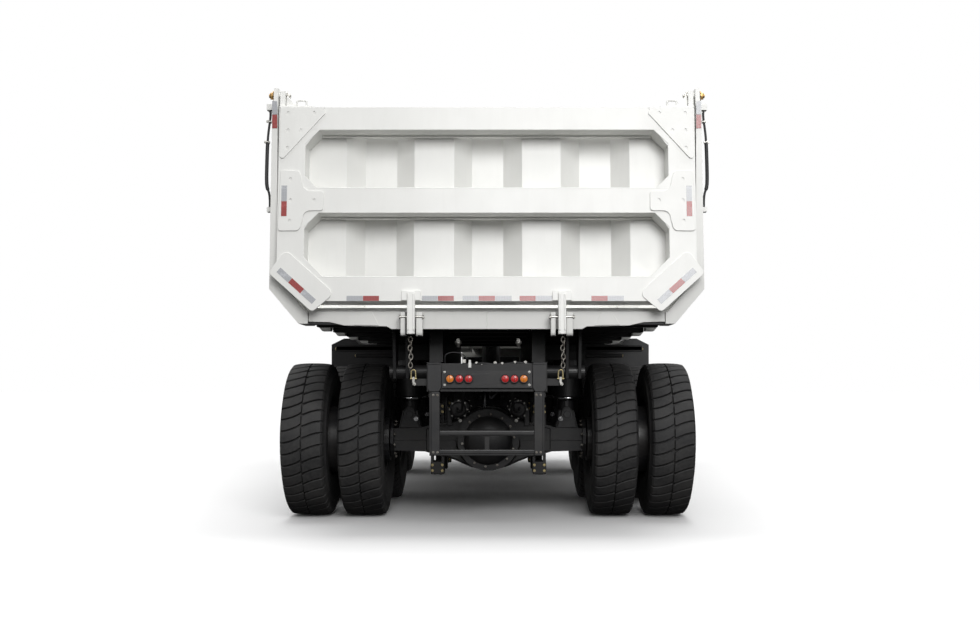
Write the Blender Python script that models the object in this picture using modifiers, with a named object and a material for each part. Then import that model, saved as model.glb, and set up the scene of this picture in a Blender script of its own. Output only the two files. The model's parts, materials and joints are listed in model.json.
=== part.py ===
"""Mining dump truck: three axles, a tipping body with a top-hung tailgate, and an offset cab.

Metres, +Z up, +Y forward, +X to the truck's right. The origin is on the ground under the middle
of the truck's length and width. Every piece is one closed solid in its own object.
"""
import math

import bmesh
import bpy
from mathutils import Matrix, Vector

# ---------------------------------------------------------------- driving dimensions
FIT = 0.0003            # gap left where two pieces meet face to face
RUN = 0.006             # clearance between pieces that move past each other

TYRE_RADIUS = 0.745
TYRE_WIDTH = 0.43
RIM_RADIUS = 0.335
TYRE_GAP = 0.06         # between the tyres of the two rear axles
DUAL_CENTRE_X = 1.455
DUAL_SPACING = 0.53
FRONT_WHEEL_X = 1.38
KINGPIN_X = 1.05

WHEELBASE = 3.65        # front axle to middle axle
REAR_OVERHANG = 1.75    # rear axle to the tailgate locks
FRONT_OVERHANG = 2.11   # front axle to the bumper's face
RIDE_HEIGHT = 0.425     # wheel centre to the underside of a frame rail

RAIL_X = 0.455
RAIL_WIDTH = 0.10
RAIL_HEIGHT = 0.30

BED_HALF_WIDTH = 1.70   # inside, wall to centre line
BED_DEPTH = 1.63        # floor to the top of the side
BED_SKIN = 0.04
CHAMFER_WIDTH = 0.20    # the sloped corner between floor and side
CHAMFER_HEIGHT = 0.24
SILL_WIDTH = 0.12
BEAM_HEIGHT = 0.105

TAILGATE_TILT = math.radians(5.2)
TAILGATE_HALF_WIDTH = 1.745
TAILGATE_HEIGHT = 1.652
TAILGATE_DEPTH = 0.20

CAB_WIDTH = 1.30
CAB_LENGTH = 1.90
CAB_HEIGHT = 1.86
CAB_WALL = 0.05

HOIST_STAGES = 3
STAGE_WALL = 0.02

# ---------------------------------------------------------------- places worked out from them
LENGTH = REAR_OVERHANG + 2 * TYRE_RADIUS + TYRE_GAP + WHEELBASE + FRONT_OVERHANG
REAR_AXLE_Y = REAR_OVERHANG - LENGTH / 2
MIDDLE_AXLE_Y = REAR_AXLE_Y + 2 * TYRE_RADIUS + TYRE_GAP
FRONT_AXLE_Y = MIDDLE_AXLE_Y + WHEELBASE
FRONT_END_Y = LENGTH / 2
TANDEM_Y = (REAR_AXLE_Y + MIDDLE_AXLE_Y) / 2

RAIL_INNER_X = RAIL_X - RAIL_WIDTH / 2
RAIL_OUTER_X = RAIL_X + RAIL_WIDTH / 2
RAIL_BOTTOM_Z = TYRE_RADIUS + RIDE_HEIGHT
RAIL_TOP_Z = RAIL_BOTTOM_Z + RAIL_HEIGHT
RAIL_REAR_Y = REAR_AXLE_Y - 1.34
END_PLATE_REAR_Y = RAIL_REAR_Y - 0.06
BUMPER_DEPTH = 0.20

FLOOR_TOP_Z = RAIL_TOP_Z + 0.46
FLOOR_BOTTOM_Z = FLOOR_TOP_Z - BED_SKIN
BEAM_BOTTOM_Z = FLOOR_BOTTOM_Z - BEAM_HEIGHT
BED_TOP_Z = FLOOR_TOP_Z + BED_DEPTH
TAIL_Y = REAR_AXLE_Y - 1.49
TAIL_BEAM_Y = (TAIL_Y - 0.06, TAIL_Y + 0.07)

PIVOT_Y = REAR_AXLE_Y - 1.10
PIVOT_Z = RAIL_TOP_Z - 0.08
PIVOT_RADIUS = 0.06

HINGE_Y = TAIL_Y + 0.03
HINGE_Z = BED_TOP_Z + 0.17
HINGE_PIN_RADIUS = 0.022

DECK_Z = TYRE_RADIUS + 1.055
DECK_SKIN = 0.06
HOIST_Y = FRONT_AXLE_Y - 0.95
HOIST_BASE_Z = RAIL_BOTTOM_Z - 0.02
HOIST_TOP_Z = HOIST_BASE_Z + 1.70
FRONT_WALL_Y = HOIST_Y - 0.62
FRONT_WALL_SLOPE = 0.37   # metres forward for each metre up

CAB_LEFT_X = -1.62
CAB_RIGHT_X = CAB_LEFT_X + CAB_WIDTH
CAB_REAR_Y = HOIST_Y + 0.48
CAB_FRONT_Y = CAB_REAR_Y + CAB_LENGTH
CAB_BOTTOM_Z = DECK_Z + FIT
CAB_TOP_Z = CAB_BOTTOM_Z + CAB_HEIGHT
SILL_Z = CAB_BOTTOM_Z + 0.95
SCREEN_RAKE = 0.32        # metres back for each metre up

SIDES = (("left", -1), ("right", 1))

# ---------------------------------------------------------------- a clean scene with two collections
for old in list(bpy.data.objects):
    bpy.data.objects.remove(old, do_unlink=True)

truck = bpy.data.collections.new("mining_dump_truck")
cutters = bpy.data.collections.new("cutters")
bpy.context.scene.collection.children.link(truck)
bpy.context.scene.collection.children.link(cutters)

# finish: base colour, roughness, metallic
FINISHES = {
    "white_paint": ((0.80, 0.80, 0.77, 1), 0.45, 0.0),
    "black_paint": ((0.022, 0.022, 0.024, 1), 0.45, 0.0),
    "grey_paint": ((0.055, 0.055, 0.06, 1), 0.5, 0.0),
    "tyre_rubber": ((0.03, 0.03, 0.033, 1), 0.8, 0.0),
    "wheel_paint": ((0.05, 0.05, 0.055, 1), 0.45, 0.0),
    "bright_steel": ((0.6, 0.6, 0.62, 1), 0.25, 1.0),
    "engine_iron": ((0.12, 0.12, 0.13, 1), 0.6, 0.3),
    "cab_glass": ((0.25, 0.32, 0.35, 1), 0.05, 0.0),
    "seat_fabric": ((0.04, 0.04, 0.045, 1), 0.9, 0.0),
    "rope": ((0.02, 0.02, 0.02, 1), 0.7, 0.0),
}


def finish_material(finish):
    """The Principled material of a named finish, made once."""
    material = bpy.data.materials.get(finish)
    if material is None:
        colour, roughness, metallic = FINISHES[finish]
        material = bpy.data.materials.new(finish)
        material.use_nodes = True
        shader = material.node_tree.nodes["Principled BSDF"]
        shader.inputs["Base Color"].default_value = colour
        shader.inputs["Roughness"].default_value = roughness
        shader.inputs["Metallic"].default_value = metallic
    return material


# ---------------------------------------------------------------- shapes
def as_object(bm):
    """An unlinked object that holds a finished bmesh."""
    mesh = bpy.data.meshes.new("piece")
    bm.to_mesh(mesh)
    bm.free()
    return bpy.data.objects.new("piece", mesh)


def box(x, y, z):
    """A block between its low and high X, Y and Z."""
    middle = Matrix.Translation((sum(x) / 2, sum(y) / 2, sum(z) / 2))
    size = Matrix.Diagonal((abs(x[1] - x[0]), abs(y[1] - y[0]), abs(z[1] - z[0]), 1))
    bm = bmesh.new()
    bmesh.ops.create_cube(bm, size=1, matrix=middle @ size)
    return as_object(bm)


def around(middle, half):
    """The low and high ends of a stretch about its middle."""
    return (middle - half, middle + half)


def rod(start, end, radius, sides=12):
    """A round bar between two points, with a flat side down."""
    start, end = Vector(start), Vector(end)
    along = end - start
    turn = along.to_track_quat("Z", "Y").to_matrix().to_4x4()
    half_side = Matrix.Rotation(math.pi / sides, 4, "Z")
    bm = bmesh.new()
    bmesh.ops.create_cone(
        bm, cap_ends=True, segments=sides, radius1=radius, radius2=radius, depth=along.length,
        matrix=Matrix.Translation((start + end) / 2) @ turn @ half_side)
    return as_object(bm)


def bore(radius, sides):
    """The corner radius of a hole whose flat sides clear a bar of this radius."""
    return (radius + FIT) / math.cos(math.pi / sides)


def meshed(curve_object):
    """A curve object as a welded mesh object in the same place."""
    cutters.objects.link(curve_object)
    graph = bpy.context.evaluated_depsgraph_get()
    mesh = bpy.data.meshes.new_from_object(curve_object.evaluated_get(graph))
    bm = bmesh.new()
    bm.from_mesh(mesh)
    bmesh.ops.remove_doubles(bm, verts=bm.verts, dist=0.00005)
    bmesh.ops.recalc_face_normals(bm, faces=bm.faces)
    piece = as_object(bm)
    piece.matrix_world = curve_object.matrix_world
    bpy.data.objects.remove(curve_object, do_unlink=True)
    return piece


# the way each extrusion axis lays an outline's (across, up) points
LAY = {
    "X": Matrix(((0, 0, 1, 0), (1, 0, 0, 0), (0, 1, 0, 0), (0, 0, 0, 1))),
    "Y": Matrix(((1, 0, 0, 0), (0, 0, -1, 0), (0, 1, 0, 0), (0, 0, 0, 1))),
    "Z": Matrix.Identity(4),
}


def prism(points, axis, stretch):
    """A flat outline extruded along an axis; points are (Y, Z), (X, Z) or (X, Y)."""
    curve = bpy.data.curves.new("outline", "CURVE")
    curve.dimensions = "2D"
    curve.fill_mode = "BOTH"
    curve.extrude = abs(stretch[1] - stretch[0]) / 2
    spline = curve.splines.new("POLY")
    spline.points.add(len(points) - 1)
    for knot, (across, up) in zip(spline.points, points):
        knot.co = (across, up, 0, 1)
    spline.use_cyclic_u = True
    outline = bpy.data.objects.new("outline", curve)
    middle = Vector((0, 0, 0))
    middle["XYZ".index(axis)] = sum(stretch) / 2
    outline.matrix_world = Matrix.Translation(middle) @ LAY[axis]
    return meshed(outline)


def tube(points, radius, resolution=1):
    """A bent round bar through its corner points, with filled ends."""
    curve = bpy.data.curves.new("tube", "CURVE")
    curve.dimensions = "3D"
    curve.bevel_depth = radius
    curve.bevel_resolution = resolution
    curve.use_fill_caps = True
    spline = curve.splines.new("POLY")
    spline.points.add(len(points) - 1)
    for knot, place in zip(spline.points, points):
        knot.co = (*place, 1)
    return bpy.data.objects.new("tube", curve)


def turned(profile, centre, turn, steps=24, closed=False):
    """A profile of (radius, along) points, down its outer side, turned about an axis."""
    bm = bmesh.new()
    verts = [bm.verts.new((radius, 0, along)) for radius, along in profile]
    for start, end in zip(verts, verts[1:]):
        bm.edges.new((start, end))
    if closed:
        bm.edges.new((verts[-1], verts[0]))
    piece = as_object(bm)
    screw = piece.modifiers.new("turn", "SCREW")
    screw.steps = steps
    screw.render_steps = steps
    screw.use_merge_vertices = True
    screw.merge_threshold = 0.00005
    screw.use_smooth_shade = False
    half_step = Matrix.Rotation(math.pi / steps, 4, "Z")
    piece.matrix_world = Matrix.Translation(centre) @ turn @ half_step
    return piece


UPRIGHT = Matrix.Identity(4)
OUTWARD = {side: Matrix.Rotation(side * math.pi / 2, 4, "Y") for side in (-1, 1)}


def combine(body, piece, operation):
    """Join a piece to a body, or cut it away, with an exact boolean."""
    cutters.objects.link(piece)
    piece.hide_render = True
    piece.display_type = "WIRE"
    step = body.modifiers.new(operation.lower(), "BOOLEAN")
    step.operation = operation
    step.solver = "EXACT"
    step.object = piece


def node(name, finish, pieces, cuts=(), carrier=None):
    """One named part, from pieces that overlap each other and the cuts taken out of them."""
    body = pieces[0]
    body.name = name
    body.data.name = name
    truck.objects.link(body)
    for piece in pieces[1:]:
        combine(body, piece, "UNION")
    for piece in cuts:
        combine(body, piece, "DIFFERENCE")
    body.data.materials.append(finish_material(finish))
    if carrier is not None:
        body.parent = carrier
        body.matrix_parent_inverse = carrier.matrix_world.inverted()
    return body


def axis_empty(name, place, carrier=None):
    """An empty on a joint's axis, which the pieces that move there hang from."""
    empty = bpy.data.objects.new(name, None)
    empty.empty_display_size = 0.3
    truck.objects.link(empty)
    empty.matrix_world = Matrix.Translation(place)
    if carrier is not None:
        empty.parent = carrier
        empty.matrix_parent_inverse = carrier.matrix_world.inverted()
    return empty


def mirrored(side, near, far):
    """The X stretch between two distances from the centre line, on one side."""
    return tuple(sorted((side * near, side * far)))


# ---------------------------------------------------------------- frame
STRUT_X = 0.77
BRACKET_Z = RAIL_TOP_Z + 0.05          # underside of the plate that a strut stands under
BRACKET_PLATE = 0.08
AXLES = (("front", FRONT_AXLE_Y), ("middle", MIDDLE_AXLE_Y), ("rear", REAR_AXLE_Y))
STAY_Z = (RAIL_TOP_Z + 0.155, RAIL_TOP_Z + 0.225)
STAY_REACH = 1.62


def frame_rail(name, side):
    """A frame rail with its end plate, strut brackets, mudguard stay, pivot stub and chain arm."""
    front_y = FRONT_END_Y - BUMPER_DEPTH - FIT
    pieces = [
        box(mirrored(side, RAIL_INNER_X, RAIL_OUTER_X), (RAIL_REAR_Y, front_y), (RAIL_BOTTOM_Z, RAIL_TOP_Z)),
        box(mirrored(side, RAIL_INNER_X, RAIL_OUTER_X + 0.01), (END_PLATE_REAR_Y, RAIL_REAR_Y + 0.01),
            (RAIL_BOTTOM_Z + 0.05, RAIL_TOP_Z)),
    ]
    upright_x = mirrored(side, RAIL_OUTER_X + 0.02, RAIL_OUTER_X + 0.075)
    web_x = mirrored(side, RAIL_OUTER_X - 0.01, RAIL_OUTER_X + 0.03)
    for _, axle_y in AXLES:
        pieces += [
            box(web_x, around(axle_y, 0.07), (RAIL_BOTTOM_Z + 0.05, RAIL_TOP_Z - 0.03)),
            box(upright_x, around(axle_y, 0.09), (RAIL_BOTTOM_Z + 0.03, BRACKET_Z + BRACKET_PLATE)),
            box(mirrored(side, RAIL_OUTER_X + 0.02, STRUT_X + 0.15), around(axle_y, 0.09),
                (BRACKET_Z, BRACKET_Z + BRACKET_PLATE)),
        ]
    pieces += [
        box(web_x, around(TANDEM_Y, 0.04), (RAIL_TOP_Z - 0.15, RAIL_TOP_Z - 0.03)),
        box(upright_x, around(TANDEM_Y, 0.05), (RAIL_TOP_Z - 0.17, STAY_Z[1])),
        box(mirrored(side, RAIL_OUTER_X + 0.02, STAY_REACH), around(TANDEM_Y, 0.03), STAY_Z),
        rod((side * RAIL_X, PIVOT_Y, PIVOT_Z), (side * 0.86, PIVOT_Y, PIVOT_Z), PIVOT_RADIUS, 24),
        box(mirrored(side, RAIL_OUTER_X - 0.01, 0.645), (RAIL_REAR_Y - 0.01, RAIL_REAR_Y + 0.04),
            around(RAIL_TOP_Z - 0.17, 0.03)),
    ]
    return node(name, "black_paint", pieces)


for side_name, side in SIDES:
    frame_rail(f"{side_name}_frame_rail", side)

rear_member_y = (END_PLATE_REAR_Y + 0.01, RAIL_REAR_Y + 0.08)
node("rear_cross_member", "black_paint", [
    box(around(0, RAIL_INNER_X - FIT), rear_member_y, (RAIL_BOTTOM_Z + 0.05, RAIL_TOP_Z - 0.01)),
])

LAMP_X = (-0.315, -0.235, -0.156, 0.156, 0.235, 0.315)
LAMP_RADIUS = 0.036
LAMP_Z = RAIL_TOP_Z - 0.141
lamp_bar_y = (rear_member_y[0] - FIT - 0.03, rear_member_y[0] - FIT)
node("rear_lamp_bar", "grey_paint", [
    box(around(0, 0.385), lamp_bar_y, (RAIL_TOP_Z - 0.22, RAIL_TOP_Z - 0.075)),
    *[rod((x, lamp_bar_y[0] - 0.022, LAMP_Z), (x, lamp_bar_y[0] + 0.01, LAMP_Z), LAMP_RADIUS, 16)
      for x in LAMP_X],
])

GUARD_TUBE = 0.045
guard_y = (END_PLATE_REAR_Y, RAIL_REAR_Y - FIT)
guard_bottom_z = RAIL_BOTTOM_Z - 0.50
guard_levels = (guard_bottom_z + GUARD_TUBE / 2, guard_bottom_z + 0.17 + GUARD_TUBE / 2)
node("rear_guard", "black_paint", [
    box(around(-RAIL_X, 0.0375), guard_y, (guard_bottom_z, RAIL_BOTTOM_Z + 0.05 - FIT)),
    *[box((-RAIL_X, RAIL_X), (guard_y[0] + 0.005, guard_y[1] - 0.01), around(z, GUARD_TUBE / 2))
      for z in guard_levels],
    box(around(RAIL_X, 0.0375), guard_y, (guard_bottom_z, RAIL_BOTTOM_Z + 0.05 - FIT)),
    box(around(0, 0.02), (guard_y[0] + 0.01, guard_y[1] - 0.015), guard_levels),
])

HOIST_PIN_RADIUS = 0.04
hoist_cheek_x = (0.17, 0.22)
hoist_cheek_y = (HOIST_Y - 0.45, HOIST_Y + 0.25)
member_z = (RAIL_BOTTOM_Z + 0.02, RAIL_TOP_Z - 0.03)
node("hoist_cross_member", "black_paint", [
    box(around(0, RAIL_INNER_X - FIT), (hoist_cheek_y[0], hoist_cheek_y[0] + 0.08), member_z),
    *[box(mirrored(side, *hoist_cheek_x), hoist_cheek_y, (HOIST_BASE_Z - 0.10, member_z[1] - 0.01))
      for _, side in SIDES],
    box(around(0, RAIL_INNER_X - FIT), (hoist_cheek_y[1] - 0.08, hoist_cheek_y[1]), member_z),
], cuts=[
    rod((-0.3, HOIST_Y, HOIST_BASE_Z), (0.3, HOIST_Y, HOIST_BASE_Z), bore(HOIST_PIN_RADIUS, 20), 20),
])

bumper_y = (FRONT_END_Y - BUMPER_DEPTH, FRONT_END_Y)
node("front_bumper", "grey_paint", [
    prism([(-1.40, RAIL_TOP_Z + 0.03), (1.40, RAIL_TOP_Z + 0.03), (1.40, RAIL_BOTTOM_Z - 0.30),
           (1.22, RAIL_BOTTOM_Z - 0.52), (-1.22, RAIL_BOTTOM_Z - 0.52), (-1.40, RAIL_BOTTOM_Z - 0.30)],
          "Y", bumper_y),
], cuts=[
    box(around(side * 1.08, 0.20), (bumper_y[1] - 0.06, bumper_y[1] + 0.1), around(RAIL_BOTTOM_Z + 0.02, 0.11))
    for _, side in SIDES
])

# ---------------------------------------------------------------- axles, struts and rods
BEAM_END_X = 0.95
BEAM_HALF_DEPTH = 0.11
BEAM_TOP_Z = TYRE_RADIUS + 0.113
SPINDLE_RADIUS = 0.07
SPINDLE_END_X = 1.30
STRUT_EYE_Z = TYRE_RADIUS + 0.242
STRUT_EYE_HALF = 0.05
ROD_X = 0.50
ROD_EYE_RADIUS = 0.073
ROD_EYE_HALF = 0.04
ROD_LEVELS = (("lower", TYRE_RADIUS - 0.282), ("upper", TYRE_RADIUS + 0.295))


def drive_axle(name, axle_y):
    """A drive axle: banjo casing, end flanges, spindles, strut lugs and rod brackets."""
    half = [(0.50, -0.155), (0.62, -0.12), (BEAM_END_X - 0.01, -0.11), (BEAM_END_X - 0.01, 0.105),
            (0.66, 0.113), (0.50, 0.161)]
    outline = half + [(-x, up) for x, up in reversed(half)]
    wheel_z = TYRE_RADIUS
    pieces = [
        prism([(x, wheel_z + up) for x, up in outline], "Y", around(axle_y, BEAM_HALF_DEPTH)),
        rod((0, axle_y - 0.24, wheel_z), (0, axle_y + 0.20, wheel_z), 0.30, 20),
        rod((-SPINDLE_END_X, axle_y, wheel_z), (SPINDLE_END_X, axle_y, wheel_z), SPINDLE_RADIUS, 16),
    ]
    for _, side in SIDES:
        pieces.append(rod((side * (BEAM_END_X - 0.03), axle_y, wheel_z),
                          (side * BEAM_END_X, axle_y, wheel_z), 0.20, 16))
        lug = [(side * x, wheel_z + up) for x, up in ((0.66, 0.10), (0.70, 0.28), (0.84, 0.28), (0.88, 0.10))]
        for way in (-1, 1):
            near = STRUT_EYE_HALF + FIT
            pieces.append(prism(lug, "Y", (axle_y + way * near, axle_y + way * (near + 0.025))))
        for level, eye_z in ROD_LEVELS:
            tall = (eye_z - 0.06, wheel_z) if level == "lower" else (wheel_z, eye_z + 0.06)
            for near in (ROD_X - ROD_EYE_HALF - FIT - 0.025, ROD_X + ROD_EYE_HALF + FIT):
                pieces.append(box(mirrored(side, near, near + 0.025), around(axle_y, 0.07), tall))
    return node(name, "black_paint", pieces)


for axle_name, axle_y in AXLES[1:]:
    drive_axle(f"{axle_name}_axle", axle_y)
    for side_name, side in SIDES:
        foot_z = STRUT_EYE_Z + 0.045
        strut = turned([(0, BRACKET_Z - FIT), (0.13, BRACKET_Z - FIT), (0.13, foot_z + 0.13),
                        (0.10, foot_z + 0.11), (0.075, foot_z + 0.11), (0.075, foot_z), (0, foot_z)],
                       (side * STRUT_X, axle_y, 0), UPRIGHT, 16)
        eye = rod((side * STRUT_X, axle_y - STRUT_EYE_HALF, STRUT_EYE_Z),
                  (side * STRUT_X, axle_y + STRUT_EYE_HALF, STRUT_EYE_Z), 0.065, 12)
        node(f"{axle_name}_{side_name}_strut", "grey_paint", [strut, eye])

for side_name, side in SIDES:
    rods = [box(mirrored(side, ROD_X - 0.06, ROD_X + 0.06), around(TANDEM_Y, 0.09),
                (ROD_LEVELS[0][1] - 0.07, RAIL_BOTTOM_Z - FIT))]
    for _, eye_z in ROD_LEVELS:
        rods.append(rod((side * ROD_X, REAR_AXLE_Y, eye_z), (side * ROD_X, MIDDLE_AXLE_Y, eye_z), 0.035, 8))
        for _, axle_y in AXLES[1:]:
            rods.append(rod((side * (ROD_X - ROD_EYE_HALF), axle_y, eye_z),
                            (side * (ROD_X + ROD_EYE_HALF), axle_y, eye_z), ROD_EYE_RADIUS, 12))
    node(f"{side_name}_radius_rods", "black_paint", rods)

FIST_RADIUS = 0.07
FIST_Z = around(TYRE_RADIUS, 0.085)
front_pieces = [box(around(0, KINGPIN_X), around(FRONT_AXLE_Y, 0.065), around(TYRE_RADIUS, 0.08))]
for _, side in SIDES:
    front_pieces += [
        rod((side * KINGPIN_X, FRONT_AXLE_Y, FIST_Z[0]), (side * KINGPIN_X, FRONT_AXLE_Y, FIST_Z[1]), FIST_RADIUS, 16),
        turned([(0, BRACKET_Z - FIT), (0.12, BRACKET_Z - FIT), (0.12, TYRE_RADIUS + 0.34),
                (0.07, TYRE_RADIUS + 0.32), (0.07, TYRE_RADIUS), (0, TYRE_RADIUS)],
               (side * STRUT_X, FRONT_AXLE_Y, 0), UPRIGHT, 16),
    ]
node("front_axle", "black_paint", front_pieces)

# ---------------------------------------------------------------- wheels and tyres
# share of the tyre's height, half width as a share of the tyre's half width
TYRE_SECTION = ((0.0, 0.80), (0.50, 1.0), (0.90, 0.94), (1.0, 0.86))
FACETS = 20
FRONT_SPINDLE_RADIUS = 0.058


def tyre_outline(centre):
    """A tyre's outer points from its outboard bead, over the tread, to its inboard bead."""
    flat = 1 / math.cos(math.pi / FACETS)
    half = [((RIM_RADIUS + share * (TYRE_RADIUS - RIM_RADIUS)) * (flat if share else 1), wide * TYRE_WIDTH / 2)
            for share, wide in TYRE_SECTION]
    return ([(radius, centre + wide) for radius, wide in half]
            + [(radius, centre - wide) for radius, wide in reversed(half)])


BEAD_HALF = TYRE_SECTION[0][1] * TYRE_WIDTH / 2
BAND = 0.03
band_inner = RIM_RADIUS - BAND


def dual_wheel(name, side, axle_y, carrier):
    """Twin tyres on their common rim, and the hub that carries them."""
    centre = (side * DUAL_CENTRE_X, axle_y, TYRE_RADIUS)
    band_half = DUAL_SPACING / 2 + BEAD_HALF
    outline = tyre_outline(DUAL_SPACING / 2) + tyre_outline(-DUAL_SPACING / 2)
    outline += [(band_inner, -band_half), (band_inner, band_half)]
    node(f"{name}_tyres", "tyre_rubber", [turned(outline, centre, OUTWARD[side], FACETS, closed=True)],
         carrier=carrier)
    bore_radius = bore(SPINDLE_RADIUS, FACETS)
    back = BEAM_END_X + 0.012 - DUAL_CENTRE_X
    depth = SPINDLE_END_X + 0.02 - DUAL_CENTRE_X
    hub = [(0, 0.36), (0.17, 0.36), (0.20, 0.03), (band_inner - FIT, 0.03),
           (band_inner - FIT, -0.03), (0.215, -0.03), (0.215, back), (bore_radius, back),
           (bore_radius, depth), (0, depth)]
    node(f"{name}_hub", "wheel_paint", [turned(hub, centre, OUTWARD[side], FACETS)], carrier=carrier)


def front_wheel(name, side, carrier):
    """A single front tyre and its rim."""
    centre = (side * FRONT_WHEEL_X, FRONT_AXLE_Y, TYRE_RADIUS)
    node(f"{name}_tyre", "tyre_rubber", [turned(tyre_outline(0), centre, OUTWARD[side], FACETS, closed=True)],
         carrier=carrier)
    bore_radius = bore(FRONT_SPINDLE_RADIUS, FACETS)
    seat = RIM_RADIUS - FIT
    rim = [(0, 0.15), (0.12, 0.15), (0.15, 0.08), (band_inner, 0.08), (band_inner, BEAD_HALF),
           (seat, BEAD_HALF), (seat, -BEAD_HALF), (band_inner, -BEAD_HALF), (band_inner, 0.04),
           (0.16, 0.04), (0.16, -0.17), (bore_radius, -0.17), (bore_radius, 0.05), (0, 0.05)]
    node(f"{name}_wheel", "wheel_paint", [turned(rim, centre, OUTWARD[side], FACETS)], carrier=carrier)


for axle_name, axle_y in AXLES[1:]:
    for side_name, side in SIDES:
        spin = axis_empty(f"{axle_name}_{side_name}_spin", (side * DUAL_CENTRE_X, axle_y, TYRE_RADIUS))
        dual_wheel(f"{axle_name}_{side_name}", side, axle_y, spin)

for side_name, side in SIDES:
    steer = axis_empty(f"{side_name}_steer", (side * KINGPIN_X, FRONT_AXLE_Y, TYRE_RADIUS))
    arm_x = mirrored(side, KINGPIN_X - 0.07, KINGPIN_X + 0.12)
    node(f"{side_name}_knuckle", "black_paint", [
        box(mirrored(side, KINGPIN_X + 0.08, KINGPIN_X + 0.12), around(FRONT_AXLE_Y, 0.07),
            (FIST_Z[0] - 0.04, FIST_Z[1] + 0.04)),
        box(arm_x, around(FRONT_AXLE_Y, 0.07), (FIST_Z[0] - 0.04, FIST_Z[0] - FIT)),
        box(arm_x, around(FRONT_AXLE_Y, 0.07), (FIST_Z[1] + FIT, FIST_Z[1] + 0.04)),
        rod((side * (KINGPIN_X + 0.10), FRONT_AXLE_Y, TYRE_RADIUS),
            (side * (FRONT_WHEEL_X + 0.02), FRONT_AXLE_Y, TYRE_RADIUS), FRONT_SPINDLE_RADIUS, 16),
    ], carrier=steer)
    spin = axis_empty(f"front_{side_name}_spin", (side * FRONT_WHEEL_X, FRONT_AXLE_Y, TYRE_RADIUS), steer)
    front_wheel(f"front_{side_name}", side, spin)

# ---------------------------------------------------------------- tanks, fenders and front end
TANK_Y = (MIDDLE_AXLE_Y + TYRE_RADIUS + 0.105, FRONT_AXLE_Y - 1.20)
TANK_OUTER_X = 1.93
BED_UNDER_Z = BEAM_BOTTOM_Z - 0.015
for side_name, side in SIDES:
    outline = [(RAIL_OUTER_X + FIT, RAIL_BOTTOM_Z - 0.39), (TANK_OUTER_X, RAIL_BOTTOM_Z - 0.39),
               (TANK_OUTER_X, BED_UNDER_Z - 0.005), (TANK_OUTER_X - 0.15, BED_UNDER_Z + 0.07),
               (TANK_OUTER_X - 0.27, BED_UNDER_Z + 0.07), (TANK_OUTER_X - 0.33, BED_UNDER_Z),
               (RAIL_OUTER_X + 0.055, BED_UNDER_Z), (RAIL_OUTER_X + 0.055, RAIL_TOP_Z - 0.03),
               (RAIL_OUTER_X + FIT, RAIL_TOP_Z - 0.03)]
    name = {"left": "fuel_tank", "right": "hydraulic_tank"}[side_name]
    node(name, "grey_paint", [prism([(side * x, z) for x, z in outline], "Y", TANK_Y)])

ARCH = 0.925                                # reach of a steered tyre from its kingpin, fore and aft
FENDER_OUTER_X = 1.90
arch_y = (FRONT_AXLE_Y - ARCH - 0.13, FRONT_AXLE_Y + ARCH + 0.13)
deck_y = (arch_y[0] - 0.06, FRONT_END_Y - 0.13)
leg_bottom_z = RAIL_BOTTOM_Z + 0.09
for side_name, side in SIDES:
    fender = [(deck_y[0], leg_bottom_z), (deck_y[0], DECK_Z), (deck_y[1], DECK_Z),
              (deck_y[1], DECK_Z - DECK_SKIN), (arch_y[1] + 0.06, DECK_Z - DECK_SKIN),
              (arch_y[1] + 0.06, leg_bottom_z), (arch_y[1], leg_bottom_z),
              (arch_y[1], DECK_Z - DECK_SKIN - 0.06), (arch_y[1] - 0.06, DECK_Z - DECK_SKIN),
              (arch_y[0] + 0.06, DECK_Z - DECK_SKIN), (arch_y[0], DECK_Z - DECK_SKIN - 0.06),
              (arch_y[0], leg_bottom_z)]
    node(f"{side_name}_fender", "white_paint",
         [prism(fender, "X", mirrored(side, RAIL_OUTER_X + FIT, FENDER_OUTER_X))])

LADDER_X = (-1.87, -1.45)
LADDER_Y = (deck_y[1] - 0.07, deck_y[1] - 0.02)
STRINGER = 0.04
STEP_PITCH = 0.30
ladder_z = (TYRE_RADIUS - 0.30, DECK_Z - DECK_SKIN - FIT)
stringers = [box((near, near + STRINGER), LADDER_Y, ladder_z) for near in (LADDER_X[0], LADDER_X[1] - STRINGER)]
steps = [box((LADDER_X[0] + 0.01, LADDER_X[1] - 0.01), (LADDER_Y[0] - 0.10, LADDER_Y[1] - 0.01), (z, z + 0.035))
         for z in (ladder_z[0] + 0.02 + STEP_PITCH * rung for rung in range(4))]
node("boarding_ladder", "black_paint", [stringers[0], *steps, stringers[1]])

RAIL_TUBE = 0.02
POST_TOP_Z = DECK_Z + 0.95
MIRROR_TOP_Z = DECK_Z + 1.46
MIRROR_X = (1.54, 1.79)
rail_x = FENDER_OUTER_X - 0.05
rail_front_y = deck_y[1] - 0.05
foot_z = DECK_Z + FIT
middle_z = DECK_Z + 0.48


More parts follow.
